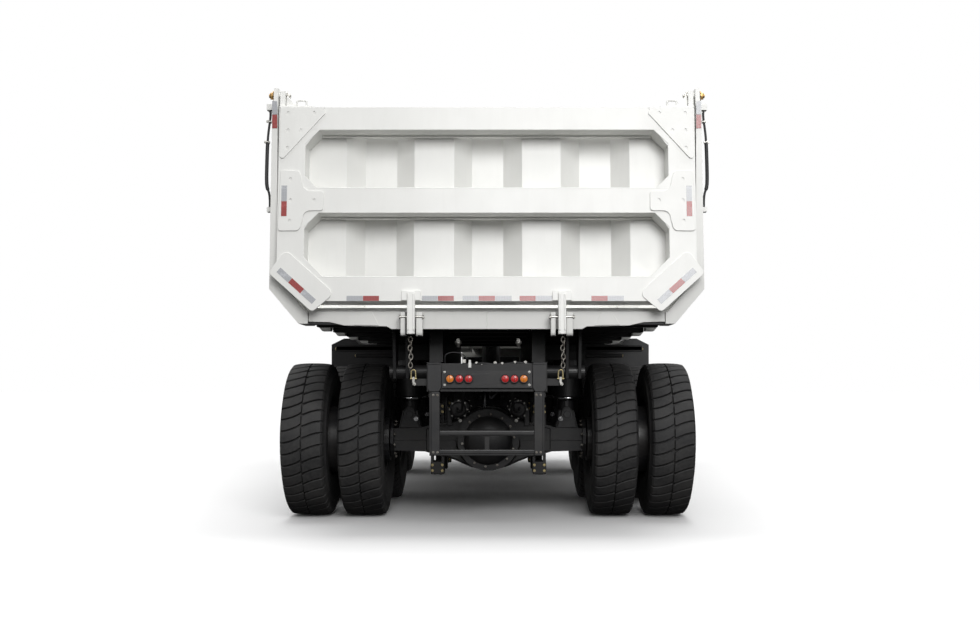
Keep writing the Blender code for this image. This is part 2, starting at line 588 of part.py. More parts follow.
def handrail(side, rear_y, inner_x):
    """A deck rail: end posts, top and middle bars, and the mirror on its front outer post."""
    path = [(side * rail_x, rear_y, foot_z), (side * rail_x, rear_y, POST_TOP_Z),
            (side * rail_x, rail_front_y, POST_TOP_Z)]
    if inner_x is not None:
        path += [(side * inner_x, rail_front_y, POST_TOP_Z), (side * inner_x, rail_front_y, foot_z)]
    corner = (side * rail_x, rail_front_y)
    pieces = [
        meshed(tube(path, RAIL_TUBE)),
        rod((*corner, foot_z), (*corner, MIRROR_TOP_Z), RAIL_TUBE * 0.9, 8),
        rod((side * rail_x, rear_y, middle_z), (*corner, middle_z), RAIL_TUBE * 0.7, 8),
        rod((*corner, MIRROR_TOP_Z - 0.06), (side * 1.66, rail_front_y, MIRROR_TOP_Z - 0.06), RAIL_TUBE * 0.7, 8),
        box(mirrored(side, *MIRROR_X), around(rail_front_y, 0.03), (POST_TOP_Z + 0.04, MIRROR_TOP_Z - 0.04)),
    ]
    if inner_x is not None:
        pieces += [
            rod((side * inner_x, rail_front_y, middle_z), (*corner, middle_z), RAIL_TUBE * 0.7, 8),
            rod((side * rail_x, FRONT_AXLE_Y + 0.35, foot_z), (side * rail_x, FRONT_AXLE_Y + 0.35, POST_TOP_Z),
                RAIL_TUBE * 0.9, 8),
        ]
    return pieces


node("right_handrail", "black_paint", handrail(1, deck_y[0] + 0.15, 0.80))
node("left_handrail", "black_paint", handrail(-1, CAB_FRONT_Y - 0.30, None))

ENGINE_Y = (HOIST_Y + 0.75, FRONT_END_Y - 0.55)
node("engine_block", "engine_iron", [
    box(around(0, RAIL_INNER_X - FIT), ENGINE_Y, (RAIL_BOTTOM_Z - 0.10, DECK_Z - 0.12)),
    box(around(0, 0.22), (ENGINE_Y[0] + 0.1, ENGINE_Y[1] - 0.35), (RAIL_BOTTOM_Z - 0.27, RAIL_BOTTOM_Z)),
])

HOOD_X = (CAB_RIGHT_X + 0.04, 0.72)
HOOD_SKIN = 0.04
hood_y = (CAB_REAR_Y + 0.05, deck_y[1] - 0.09)
hood_top_z = DECK_Z + 0.62
hood_outline = [(hood_y[0], CAB_BOTTOM_Z), (hood_y[0], hood_top_z), (hood_y[1] - 0.30, hood_top_z),
                (hood_y[1], hood_top_z - 0.10), (hood_y[1], CAB_BOTTOM_Z)]
hood_hollow = [(hood_y[0] + HOOD_SKIN, CAB_BOTTOM_Z - 0.1), (hood_y[0] + HOOD_SKIN, hood_top_z - HOOD_SKIN),
               (hood_y[1] - 0.32, hood_top_z - HOOD_SKIN), (hood_y[1] - HOOD_SKIN, hood_top_z - 0.14),
               (hood_y[1] - HOOD_SKIN, CAB_BOTTOM_Z - 0.1)]
node("engine_hood", "white_paint", [
    prism(hood_outline, "X", HOOD_X),
    box(around(0, RAIL_OUTER_X - 0.005), (hood_y[1] - 0.04, hood_y[1]), (RAIL_TOP_Z + FIT, CAB_BOTTOM_Z + 0.1)),
], cuts=[prism(hood_hollow, "X", (HOOD_X[0] + HOOD_SKIN, HOOD_X[1] - HOOD_SKIN))])

cleaner_z = DECK_Z + FIT
node("air_cleaner", "black_paint", [
    turned([(0, cleaner_z + 0.92), (0.10, cleaner_z + 0.92), (0.19, cleaner_z + 0.84), (0.19, cleaner_z + 0.76),
            (0.09, cleaner_z + 0.74), (0.09, cleaner_z + 0.68), (0.17, cleaner_z + 0.64), (0.17, cleaner_z + 0.10),
            (0.12, cleaner_z), (0, cleaner_z)], (1.15, CAB_REAR_Y + 0.30, 0), UPRIGHT, 16),
])

# ---------------------------------------------------------------- cab
screen_top_z = CAB_TOP_Z - 0.10
DOOR_Y = (CAB_REAR_Y + 0.37, CAB_REAR_Y + 1.41)
DOOR_Z = (CAB_BOTTOM_Z + 0.06, CAB_TOP_Z - 0.12)
DOOR_AXIS = (CAB_LEFT_X - 0.017, DOOR_Y[1])
KNUCKLE_RADIUS = 0.015
PANE = 0.012


def cab_outline(inset):
    """The cab's side outline, upright to the sill and raked above it, drawn in by a wall."""
    rake = SCREEN_RAKE * (CAB_TOP_Z - SILL_Z)
    return [(CAB_REAR_Y + inset, CAB_BOTTOM_Z + inset), (CAB_REAR_Y + inset, CAB_TOP_Z - inset),
            (CAB_FRONT_Y - rake - inset * 0.75, CAB_TOP_Z - inset), (CAB_FRONT_Y - inset, SILL_Z),
            (CAB_FRONT_Y - inset, CAB_BOTTOM_Z + inset)]


def screen_band(low, high, behind, ahead):
    """A stretch of the raked front wall as (Y, Z) points, from behind to ahead of its face."""
    def face_y(z):
        return CAB_FRONT_Y - SCREEN_RAKE * (z - SILL_Z)
    return [(face_y(low) + behind, low), (face_y(low) + ahead, low),
            (face_y(high) + ahead, high), (face_y(high) + behind, high)]


cab_inner_x = (CAB_LEFT_X + CAB_WALL, CAB_RIGHT_X - CAB_WALL)
screen_x = (CAB_LEFT_X + 0.10, CAB_RIGHT_X - 0.10)
screen_z = (SILL_Z + 0.04, screen_top_z)
side_window = ((DOOR_Y[0] + 0.08, DOOR_Y[1] + 0.02), (SILL_Z, CAB_TOP_Z - 0.22))
door_window = ((DOOR_Y[0] + 0.12, DOOR_Y[1] - 0.12), (SILL_Z - 0.03, DOOR_Z[1] - 0.12))
hinge_levels = [DOOR_Z[0] + share * (DOOR_Z[1] - DOOR_Z[0]) for share in (0.15, 0.85)]


def hinge_leaf(low, high, way):
    """Half of a door hinge: a knuckle on the axis and the leaf behind it."""
    near = DOOR_AXIS[1] + (0 if way > 0 else -FIT)
    return [rod((*DOOR_AXIS, low), (*DOOR_AXIS, high), KNUCKLE_RADIUS, 10),
            box((DOOR_AXIS[0] - 0.006, CAB_LEFT_X + 0.02), tuple(sorted((near, near + way * 0.05))), (low, high))]


shell_leaves = [piece for z in hinge_levels for piece in hinge_leaf(z - 0.05, z, 1)]
node("cab_shell", "white_paint", [
    prism(cab_outline(0), "X", (CAB_LEFT_X, CAB_RIGHT_X)), *shell_leaves,
], cuts=[
    prism(cab_outline(CAB_WALL), "X", cab_inner_x),
    prism(screen_band(*screen_z, -0.12, 0.1), "X", screen_x),
    box((CAB_LEFT_X - 0.003, CAB_LEFT_X + CAB_WALL + 0.02), DOOR_Y, DOOR_Z),
    box((CAB_RIGHT_X - CAB_WALL - 0.02, CAB_RIGHT_X + 0.02), *side_window),
])
node("windscreen", "cab_glass", [
    prism(screen_band(screen_z[0] + FIT, screen_z[1] - FIT, -0.032, -0.032 + PANE), "X",
          (screen_x[0] + FIT, screen_x[1] - FIT)),
])
pane_y, pane_z = [(low + FIT, high - FIT) for low, high in side_window]
node("side_window", "cab_glass", [box(around(CAB_RIGHT_X - CAB_WALL / 2, PANE / 2), pane_y, pane_z)])

door_hinge = axis_empty("cab_door_hinge", (*DOOR_AXIS, sum(DOOR_Z) / 2))
door_leaves = [piece for z in hinge_levels for piece in hinge_leaf(z + FIT, z + 0.05, -1)]
node("cab_door", "white_paint", [
    box((CAB_LEFT_X, CAB_LEFT_X + CAB_WALL), (DOOR_Y[0] + RUN, DOOR_Y[1] - RUN), (DOOR_Z[0] + RUN, DOOR_Z[1] - RUN)),
    *door_leaves,
], cuts=[box((CAB_LEFT_X - 0.02, CAB_LEFT_X + CAB_WALL + 0.02), *door_window)], carrier=door_hinge)
pane_y, pane_z = [(low + FIT, high - FIT) for low, high in door_window]
node("door_window", "cab_glass", [box(around(CAB_LEFT_X + CAB_WALL / 2, PANE / 2), pane_y, pane_z)],
     carrier=door_hinge)

CAB_MIDDLE_X = (CAB_LEFT_X + CAB_RIGHT_X) / 2
cab_floor_z = CAB_BOTTOM_Z + CAB_WALL + FIT
seat_y = CAB_REAR_Y + 0.30
node("driver_seat", "seat_fabric", [
    box(around(CAB_MIDDLE_X, 0.18), (seat_y + 0.08, seat_y + 0.48), (cab_floor_z, cab_floor_z + 0.36)),
    box(around(CAB_MIDDLE_X, 0.26), (seat_y, seat_y + 0.56), (cab_floor_z + 0.34, cab_floor_z + 0.50)),
    prism([(seat_y + 0.14, cab_floor_z + 0.42), (seat_y, cab_floor_z + 0.42), (seat_y - 0.12, cab_floor_z + 1.10),
           (seat_y - 0.02, cab_floor_z + 1.10)], "X", around(CAB_MIDDLE_X, 0.24)),
])
console_y = (CAB_FRONT_Y - CAB_WALL - 0.34, CAB_FRONT_Y - CAB_WALL - 0.04)
wheel_place = Vector((CAB_MIDDLE_X, console_y[0] - 0.26, cab_floor_z + 0.88))
wheel_tilt = Matrix.Rotation(math.radians(28), 4, "X")
node("steering_console", "seat_fabric", [
    box(around(CAB_MIDDLE_X, 0.50), console_y, (cab_floor_z + 0.52, cab_floor_z + 0.80)),
    box(around(CAB_MIDDLE_X, 0.16), (console_y[0] + 0.04, console_y[1]), (cab_floor_z, cab_floor_z + 0.6)),
    rod((CAB_MIDDLE_X, console_y[0] + 0.06, cab_floor_z + 0.62), wheel_place, 0.03, 8),
    turned([(0.215, 0.014), (0.215, -0.014), (0.185, -0.014), (0.185, 0.014)], wheel_place, wheel_tilt, 16,
           closed=True),
    rod(wheel_place - Vector((0.19, 0, 0)), wheel_place + Vector((0.19, 0, 0)), 0.012, 6),
])

# ---------------------------------------------------------------- tipping body
bed = axis_empty("bed_tip", (0, PIVOT_Y, PIVOT_Z))
slope = math.hypot(CHAMFER_WIDTH, CHAMFER_HEIGHT)
CORNER_X = BED_HALF_WIDTH - CHAMFER_WIDTH
CORNER_Z = FLOOR_TOP_Z + CHAMFER_HEIGHT


def chamfer_points(skin):
    """Where the sloped corner, thickened outwards by a skin, meets the floor and the side."""
    foot = (CORNER_X + skin * (slope - CHAMFER_WIDTH) / CHAMFER_HEIGHT, FLOOR_TOP_Z - skin)
    head_z = CORNER_Z - skin * (slope - CHAMFER_HEIGHT) / CHAMFER_WIDTH
    return foot, (BED_HALF_WIDTH + skin, head_z)


skin_foot, skin_head = chamfer_points(BED_SKIN)
half_floor = [(CORNER_X, FLOOR_TOP_Z), (BED_HALF_WIDTH, CORNER_Z), (BED_HALF_WIDTH + BED_SKIN, CORNER_Z),
              skin_head, skin_foot]
floor_outline = half_floor + [(-x, z) for x, z in reversed(half_floor)]
node("bed_floor", "white_paint", [prism(floor_outline, "Y", (TAIL_Y + 0.016, FRONT_WALL_Y - FIT))], carrier=bed)

BEAM_HALF = CORNER_X - 0.001
LUG_PLATES = (0.70, 0.81)
LUG_PLATE = 0.027
sill_z = (RAIL_TOP_Z + RUN, FLOOR_BOTTOM_Z - FIT)
beam_z = (BEAM_BOTTOM_Z, FLOOR_BOTTOM_Z - FIT)
sill_y = (PIVOT_Y + 0.05, FRONT_WALL_Y - 0.02)
BEAM_COUNT = 5
beam_step = (sill_y[1] - 0.10 - PIVOT_Y) / BEAM_COUNT
beam_places = [PIVOT_Y + beam_step * index for index in range(BEAM_COUNT + 1)]
subframe = [box(around(0, BEAM_HALF), TAIL_BEAM_Y, beam_z)]
subframe += [box(mirrored(side, RAIL_X - SILL_WIDTH / 2, RAIL_X + SILL_WIDTH / 2), sill_y, sill_z)
             for _, side in SIDES]
subframe += [box(mirrored(side, RAIL_X - SILL_WIDTH / 2, RAIL_X + SILL_WIDTH / 2),
                 (TAIL_BEAM_Y[0] + 0.03, sill_y[0] + 0.05), beam_z) for _, side in SIDES]
subframe += [box(around(0, BEAM_HALF), around(y, 0.06), beam_z) for y in beam_places]
LOCK_X = 0.624
LOCK_LUGS = ((-0.087, -0.055), (0.042, 0.088))
for _, side in SIDES:
    subframe += [box(mirrored(side, LOCK_X + near, LOCK_X + far), (TAIL_BEAM_Y[0] - 0.12, TAIL_BEAM_Y[0] + 0.02),
                     (BEAM_BOTTOM_Z - 0.105, beam_z[1] - 0.01)) for near, far in LOCK_LUGS]
    lug = [(PIVOT_Y - 0.09, PIVOT_Z - 0.06), (PIVOT_Y + 0.09, PIVOT_Z - 0.06), (PIVOT_Y + 0.16, beam_z[1] - 0.01),
           (PIVOT_Y - 0.16, beam_z[1] - 0.01)]
    subframe += [prism(lug, "X", around(side * x, LUG_PLATE / 2)) for x in LUG_PLATES]
    subframe.append(box(around(side * 0.755, 0.09), around(PIVOT_Y, 0.14), beam_z))
node("bed_subframe", "black_paint", subframe,
     cuts=[rod((side * 0.6, PIVOT_Y, PIVOT_Z), (side * 0.95, PIVOT_Y, PIVOT_Z), bore(PIVOT_RADIUS, 24), 24)
           for _, side in SIDES], carrier=bed)

RIB_REACH = (0.10, 0.125)                  # beyond the wall's inner face, at the top and at the corner
RIB_COUNT = 6
RIB_HALF = 0.06
TOP_RAIL_Z = (BED_TOP_Z - 0.11, BED_TOP_Z)
LUG_NEAR_X = TAILGATE_HALF_WIDTH + 0.010
LUG_FAR_X = BED_HALF_WIDTH + RIB_REACH[0]
wall_bottom_z = CORNER_Z + FIT
rake = math.tan(TAILGATE_TILT)


def tail_edge(z):
    """Y of the body's raked rear edge at a height."""
    return TAIL_Y + rake * (z - FLOOR_TOP_Z)


def wall_front(z):
    """Y of the front wall's rear face at a height."""
    return FRONT_WALL_Y + FRONT_WALL_SLOPE * (z - FLOOR_TOP_Z)


def rib_outline(side, inner_x, top_z):
    """A side rib from its top round the sloped corner to the floor beams."""
    foot, head = chamfer_points(BED_SKIN + FIT)
    outer = BED_HALF_WIDTH + RIB_REACH[1]
    points = [(inner_x, top_z), (inner_x, wall_bottom_z + 0.02), (head[0], wall_bottom_z + 0.02),
              head, (foot[0], FLOOR_BOTTOM_Z - FIT), (CORNER_X + FIT, FLOOR_BOTTOM_Z - FIT),
              (CORNER_X + FIT, BEAM_BOTTOM_Z + 0.005), (CORNER_X + 0.08, BEAM_BOTTOM_Z + 0.005),
              (outer, CORNER_Z - 0.09), (LUG_FAR_X, top_z)]
    return [(side * x, z) for x, z in points]


rib_step = (FRONT_WALL_Y - 0.10 - (TAIL_Y + 0.20)) / (RIB_COUNT - 1)
ROPE_RADIUS = 0.010
ROPE_TOP_Z = BED_TOP_Z + 0.04
ROPE_LOW_Z = FLOOR_TOP_Z + 0.85
rope_y = HINGE_Y - 0.02

for side_name, side in SIDES:
    wall = [(tail_edge(wall_bottom_z), wall_bottom_z), (tail_edge(BED_TOP_Z), BED_TOP_Z),
            (wall_front(BED_TOP_Z) + BED_SKIN, BED_TOP_Z), (wall_front(wall_bottom_z) + BED_SKIN, wall_bottom_z)]
    pieces = [prism(wall, "X", mirrored(side, BED_HALF_WIDTH, BED_HALF_WIDTH + BED_SKIN))]
    pieces += [prism(rib_outline(side, BED_HALF_WIDTH + BED_SKIN - 0.01, TOP_RAIL_Z[0] + 0.02), "Y",
                     around(TAIL_Y + 0.20 + rib_step * index, RIB_HALF)) for index in range(RIB_COUNT)]
    pieces += [
        box(mirrored(side, BED_HALF_WIDTH + FIT, LUG_FAR_X + 0.004), (TAIL_Y + 0.15, wall_front(BED_TOP_Z) - 0.02),
            (TOP_RAIL_Z[0], BED_TOP_Z - 0.004)),
        prism(rib_outline(side, LUG_NEAR_X, BED_TOP_Z - 0.008), "Y", (TAIL_Y - 0.09, TAIL_Y + 0.18)),
        prism([(TAIL_Y - 0.07, BED_TOP_Z - 0.05), (TAIL_Y + 0.14, BED_TOP_Z - 0.05),
               (TAIL_Y + 0.08, HINGE_Z + 0.05), (TAIL_Y - 0.03, HINGE_Z + 0.05)],
              "X", mirrored(side, LUG_NEAR_X + 0.004, LUG_FAR_X - 0.004)),
        rod((side * 1.68, HINGE_Y, HINGE_Z), (side * (LUG_FAR_X + 0.03), HINGE_Y, HINGE_Z), HINGE_PIN_RADIUS, 16),
        box(mirrored(side, LUG_FAR_X - 0.02, LUG_FAR_X + 0.06), around(rope_y, 0.03), (ROPE_TOP_Z, ROPE_TOP_Z + 0.05)),
        box(mirrored(side, LUG_FAR_X - 0.02, LUG_FAR_X + 0.06), around(rope_y, 0.03), (ROPE_LOW_Z - 0.04, ROPE_LOW_Z)),
    ]
    node(f"bed_{side_name}_side", "white_paint", pieces, carrier=bed)

CANOPY_Y = FRONT_AXLE_Y + 1.58
canopy_low_z = CAB_TOP_Z + 0.18


def canopy_line(lift):
    """The front wall and the cab canopy as one bent line of (Y, Z) points, lifted off its rear face."""
    return [(wall_front(FLOOR_TOP_Z + FIT) + lift, FLOOR_TOP_Z + FIT),
            (wall_front(BED_TOP_Z) + lift, BED_TOP_Z - lift * 0.3),
            (wall_front(BED_TOP_Z) + 0.50, canopy_low_z + 0.05 - lift),
            (CANOPY_Y, canopy_low_z + 0.15 - lift)]


front_wall = canopy_line(0) + list(reversed(canopy_line(0.05)))
wall_half = BED_HALF_WIDTH - FIT
eye_y, eye_z = HOIST_Y, HOIST_TOP_Z
hoist_cheek = [(wall_front(eye_z - 0.26) + 0.02, eye_z - 0.26), (eye_y + 0.05, eye_z - 0.08),
               (eye_y + 0.09, eye_z), (eye_y + 0.05, eye_z + 0.08), (wall_front(eye_z + 0.26) + 0.02, eye_z + 0.26)]
node("bed_front_wall", "white_paint", [
    prism(front_wall, "X", around(0, wall_half)),
    *[prism(hoist_cheek, "X", mirrored(side, 0.085, 0.115)) for _, side in SIDES],
    *[prism([(wall_front(BED_TOP_Z) + 0.30, canopy_low_z - 0.10), (CANOPY_Y, canopy_low_z + 0.11),
             (CANOPY_Y, canopy_low_z + 0.26), (wall_front(BED_TOP_Z) + 0.45, canopy_low_z + 0.20)],
            "X", mirrored(side, wall_half - 0.05, wall_half)) for _, side in SIDES],
], carrier=bed)

# ---------------------------------------------------------------- tailgate
tailgate = axis_empty("tailgate_swing", (0, HINGE_Y, HINGE_Z), bed)
hang = Matrix.Translation((0, HINGE_Y, HINGE_Z)) @ Matrix.Rotation(TAILGATE_TILT * -1, 4, "X")
unhang = Matrix.Translation((0, -HINGE_Y, -HINGE_Z))
HANG = hang @ unhang


def hung(piece):
    """A tailgate piece, drawn upright under the hinge, swung back to its closed slant."""
    piece.matrix_world = HANG @ piece.matrix_world
    return piece


gate_rear_y = HINGE_Y - 0.08
gate_front_y = gate_rear_y + TAILGATE_DEPTH
gate_top_z = BED_TOP_Z + 0.046
gate_bottom_z = gate_top_z - TAILGATE_HEIGHT
GATE_POST = 0.226
GATE_RAILS = ((-0.196, 0.0), (-0.906, -0.691), (-TAILGATE_HEIGHT, -TAILGATE_HEIGHT + 0.209))
GATE_CORNER = (0.22, 0.252)
outer = [(TAILGATE_HALF_WIDTH, gate_top_z), (TAILGATE_HALF_WIDTH, gate_bottom_z + GATE_CORNER[1]),
         (TAILGATE_HALF_WIDTH - GATE_CORNER[0], gate_bottom_z)]
outer += [(-x, z) for x, z in reversed(outer)]
window_half = TAILGATE_HALF_WIDTH - GATE_POST
upper_window = (gate_top_z + GATE_RAILS[1][1], gate_top_z + GATE_RAILS[0][0])
lower_window = (gate_top_z + GATE_RAILS[2][1], gate_top_z + GATE_RAILS[1][0])


def window_outline(low, high, bevels):
    """A tailgate opening whose corners are cut; bevels are (lower, upper) cut sizes."""
    half = [(window_half - bevels[0], low), (window_half, low + bevels[0]), (window_half, high - bevels[1]),
            (window_half - bevels[1], high)]
    return half + [(-x, z) for x, z in reversed(half)]


frame_y = (gate_rear_y, gate_front_y)
cut_y = (gate_rear_y - 0.05, gate_front_y + 0.05)
frame_pieces = [prism(outer, "Y", frame_y)]
for _, side in SIDES:
    frame_pieces += [
        box(around(side * LOCK_X, 0.075), (gate_rear_y - 0.012, gate_rear_y + 0.01),
            (gate_bottom_z + 0.005, gate_bottom_z + 0.09)),
        box(around(side * LOCK_X, 0.032), (gate_rear_y - 0.025, gate_rear_y + 0.015),
            (gate_bottom_z - 0.275, gate_bottom_z + 0.075)),
        prism([(gate_rear_y + 0.02, gate_top_z - 0.02), (gate_front_y - 0.04, gate_top_z - 0.02),
               (HINGE_Y + 0.045, HINGE_Z + 0.03), (HINGE_Y - 0.045, HINGE_Z + 0.03)],
              "X", mirrored(side, TAILGATE_HALF_WIDTH - 0.045, TAILGATE_HALF_WIDTH)),
    ]
node("tailgate_frame", "white_paint", [hung(piece) for piece in frame_pieces], cuts=[
    hung(prism(window_outline(*upper_window, (0.10, 0.12)), "Y", cut_y)),
    hung(prism(window_outline(*lower_window, (0.16, 0.12)), "Y", cut_y)),
    rod((-2, HINGE_Y, HINGE_Z), (2, HINGE_Y, HINGE_Z), bore(HINGE_PIN_RADIUS, 16), 16),
], carrier=tailgate)

FOLD_DEPTH = 0.13
SHEET = 0.02
PANEL_HALF = 1.685
# where each fold's slope starts and ends across the tailgate, left to right
FOLDS = ((-1.20, -1.05), (-0.78, -0.62), (-0.28, -0.13), (0.14, 0.30), (0.63, 0.80), (1.07, 1.22))
near_y = gate_front_y + FIT
fold_line = [(-PANEL_HALF, near_y)]
for index, (start, end) in enumerate(FOLDS):
    levels = (near_y, near_y + FOLD_DEPTH) if index % 2 == 0 else (near_y + FOLD_DEPTH, near_y)
    fold_line += [(start, levels[0]), (end, levels[1])]
fold_line.append((PANEL_HALF, near_y))
sheet_outline = fold_line + [(x, y + SHEET) for x, y in reversed(fold_line)]
panel_z = (gate_bottom_z + 0.025, gate_top_z - 0.03)
corner_cuts = [prism([(side * 2.0, panel_z[0] - 0.2), (side * 2.0, panel_z[0] + 0.62),
                      (side * (CORNER_X - 0.22), panel_z[0] - 0.2)], "Y", (gate_rear_y, gate_front_y + 0.4))
               for _, side in SIDES]
node("tailgate_panel", "white_paint", [hung(prism(sheet_outline, "Z", panel_z))],
     cuts=[hung(piece) for piece in corner_cuts], carrier=tailgate)

# ---------------------------------------------------------------- hoist
STAGE_SLIP = 0.0005
BARREL_RADIUS = 0.13
carrier = axis_empty("hoist_swing", (0, HOIST_Y, HOIST_BASE_Z))
barrel_bore = BARREL_RADIUS - STAGE_WALL
stage_top_z = HOIST_TOP_Z - 0.19
barrel_bottom_z = HOIST_BASE_Z - 0.09
barrel = [(0, barrel_bottom_z + 0.04), (barrel_bore, barrel_bottom_z + 0.04), (barrel_bore, stage_top_z),
          (BARREL_RADIUS, stage_top_z), (BARREL_RADIUS, barrel_bottom_z), (0, barrel_bottom_z)]
node("hoist_barrel", "black_paint", [
    turned(barrel, (0, HOIST_Y, 0), UPRIGHT, 16),
    *[rod((side * (barrel_bore + 0.006), HOIST_Y, HOIST_BASE_Z), (side * 0.24, HOIST_Y, HOIST_BASE_Z),
          HOIST_PIN_RADIUS, 20) for _, side in SIDES],
], carrier=carrier)
outer_radius = barrel_bore - STAGE_SLIP
for stage in range(1, HOIST_STAGES + 1):
    carrier = axis_empty(f"hoist_slide_{stage}", (0, HOIST_Y, HOIST_BASE_Z), carrier)
    bottom_z = barrel_bottom_z + 0.04 + 0.012 * stage
    top_z = stage_top_z + 0.03 * stage
    inner_radius = outer_radius - STAGE_WALL
    if stage < HOIST_STAGES:
        sleeve = [(inner_radius, top_z), (outer_radius, top_z), (outer_radius, bottom_z), (inner_radius, bottom_z)]
        node(f"hoist_stage_{stage}", "bright_steel",
             [turned(sleeve, (0, HOIST_Y, 0), UPRIGHT, 16, closed=True)], carrier=carrier)
    else:
        ram = [(0, HOIST_TOP_Z - 0.02), (outer_radius * 0.8, HOIST_TOP_Z - 0.02), (outer_radius, top_z),
               (outer_radius, bottom_z), (0, bottom_z)]
        node("hoist_rod", "bright_steel", [
            turned(ram, (0, HOIST_Y, 0), UPRIGHT, 16),
            rod((-0.065, HOIST_Y, HOIST_TOP_Z), (0.065, HOIST_Y, HOIST_TOP_Z), 0.07, 16),
        ], carrier=carrier)
    outer_radius = inner_radius - STAGE_SLIP

# ---------------------------------------------------------------- tailgate ropes
ROPE_SPACING = 2.6 * ROPE_RADIUS * 2


def smooth_route(route, spacing):
    """Evenly spaced points on a smooth curve through the route's own points."""
    points = [Vector(place) for place in route]
    ends = [points[0] * 2 - points[1], *points, points[-1] * 2 - points[-2]]
    fine = []
    for before, start, end, after in zip(ends, ends[1:], ends[2:], ends[3:]):
        for part in range(16):
            t = part / 16
            fine.append(0.5 * ((2 * start) + (end - before) * t + (2 * before - 5 * start + 4 * end - after) * t ** 2
                               + (3 * start - 3 * end + after - before) * t ** 3))
    fine.append(points[-1])
    lengths = [0.0]
    for start, end in zip(fine, fine[1:]):
        lengths.append(lengths[-1] + (end - start).length)
    count = max(2, round(lengths[-1] / spacing))
    even = []
    index = 0
    for step in range(count + 1):
        target = lengths[-1] * step / count
        while index < len(fine) - 2 and lengths[index + 1] < target:
            index += 1
        share = (target - lengths[index]) / (lengths[index + 1] - lengths[index])
        even.append(fine[index].lerp(fine[index + 1], share))
    return even


for side_name, side in SIDES:
    # distance outside the rib's face, height
    route = ((0.035, ROPE_TOP_Z - 2 * FIT), (0.035, ROPE_TOP_Z - 0.06), (0.055, ROPE_TOP_Z - 0.22),
             (0.064, ROPE_TOP_Z - 0.42), (0.066, ROPE_TOP_Z - 0.62), (0.046, ROPE_LOW_Z + 0.12),
             (0.040, ROPE_LOW_Z + 0.06), (0.040, ROPE_LOW_Z + 2 * FIT))
    places = [(side * (LUG_FAR_X + out), rope_y, z) for out, z in route]
    rope = tube(smooth_route(places, ROPE_SPACING), ROPE_RADIUS, 2)
    rope.data.name = f"{side_name}_rope"
    node(f"{side_name}_rope", "rope", [rope], carrier=bed)
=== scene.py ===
import json
import math

import bpy
from mathutils import Matrix, Vector


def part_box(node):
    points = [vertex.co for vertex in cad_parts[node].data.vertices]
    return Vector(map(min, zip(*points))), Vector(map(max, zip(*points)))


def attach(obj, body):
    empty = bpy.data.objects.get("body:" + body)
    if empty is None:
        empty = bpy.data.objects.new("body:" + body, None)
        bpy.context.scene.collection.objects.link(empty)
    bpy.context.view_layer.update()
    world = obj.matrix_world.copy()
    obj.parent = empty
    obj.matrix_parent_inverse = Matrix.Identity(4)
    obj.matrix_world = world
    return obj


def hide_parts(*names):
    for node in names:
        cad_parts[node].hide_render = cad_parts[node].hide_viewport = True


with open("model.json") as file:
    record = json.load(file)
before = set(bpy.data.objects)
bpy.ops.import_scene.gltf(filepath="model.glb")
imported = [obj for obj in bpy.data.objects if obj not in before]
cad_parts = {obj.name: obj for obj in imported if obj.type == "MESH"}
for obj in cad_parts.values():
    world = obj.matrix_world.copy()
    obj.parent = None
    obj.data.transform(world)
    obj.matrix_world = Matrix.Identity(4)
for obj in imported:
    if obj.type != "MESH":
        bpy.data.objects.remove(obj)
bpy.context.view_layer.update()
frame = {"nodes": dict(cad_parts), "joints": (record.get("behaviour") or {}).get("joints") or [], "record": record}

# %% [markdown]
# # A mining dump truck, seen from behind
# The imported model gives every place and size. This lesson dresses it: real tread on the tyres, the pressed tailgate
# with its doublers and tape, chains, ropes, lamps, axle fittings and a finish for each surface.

JOINTS = {joint["name"]: Vector(joint["pos_m"]) for joint in frame["joints"]}
SIDES = (("left", -1), ("right", 1))
AXLES = ("middle", "rear")
hinge = JOINTS["tailgate_swing"]
pivot = JOINTS["bed_tip"]

# %% [markdown]
# The camera comes first. It stands level behind the truck on a long-ish lens, a little right of the middle, at the
# height of the lamps. A small shift keeps it level while the tall body still fits the picture.

# %% Camera
bpy.ops.object.camera_add(location=(0.093, -13.18, 1.28), rotation=(math.pi / 2, 0, 0))
camera = bpy.context.object
camera.data.sensor_width = 36
camera.data.lens = 38.65
camera.data.shift_x = -0.008
camera.data.shift_y = 0.075
camera.data.clip_end = 500
bpy.context.scene.camera = camera

# %% [markdown]
# Shader sums read best as sums. This class wraps an output socket, so `1 - mask * 0.3` adds its own Math nodes, and
# one method makes every other kind of node.

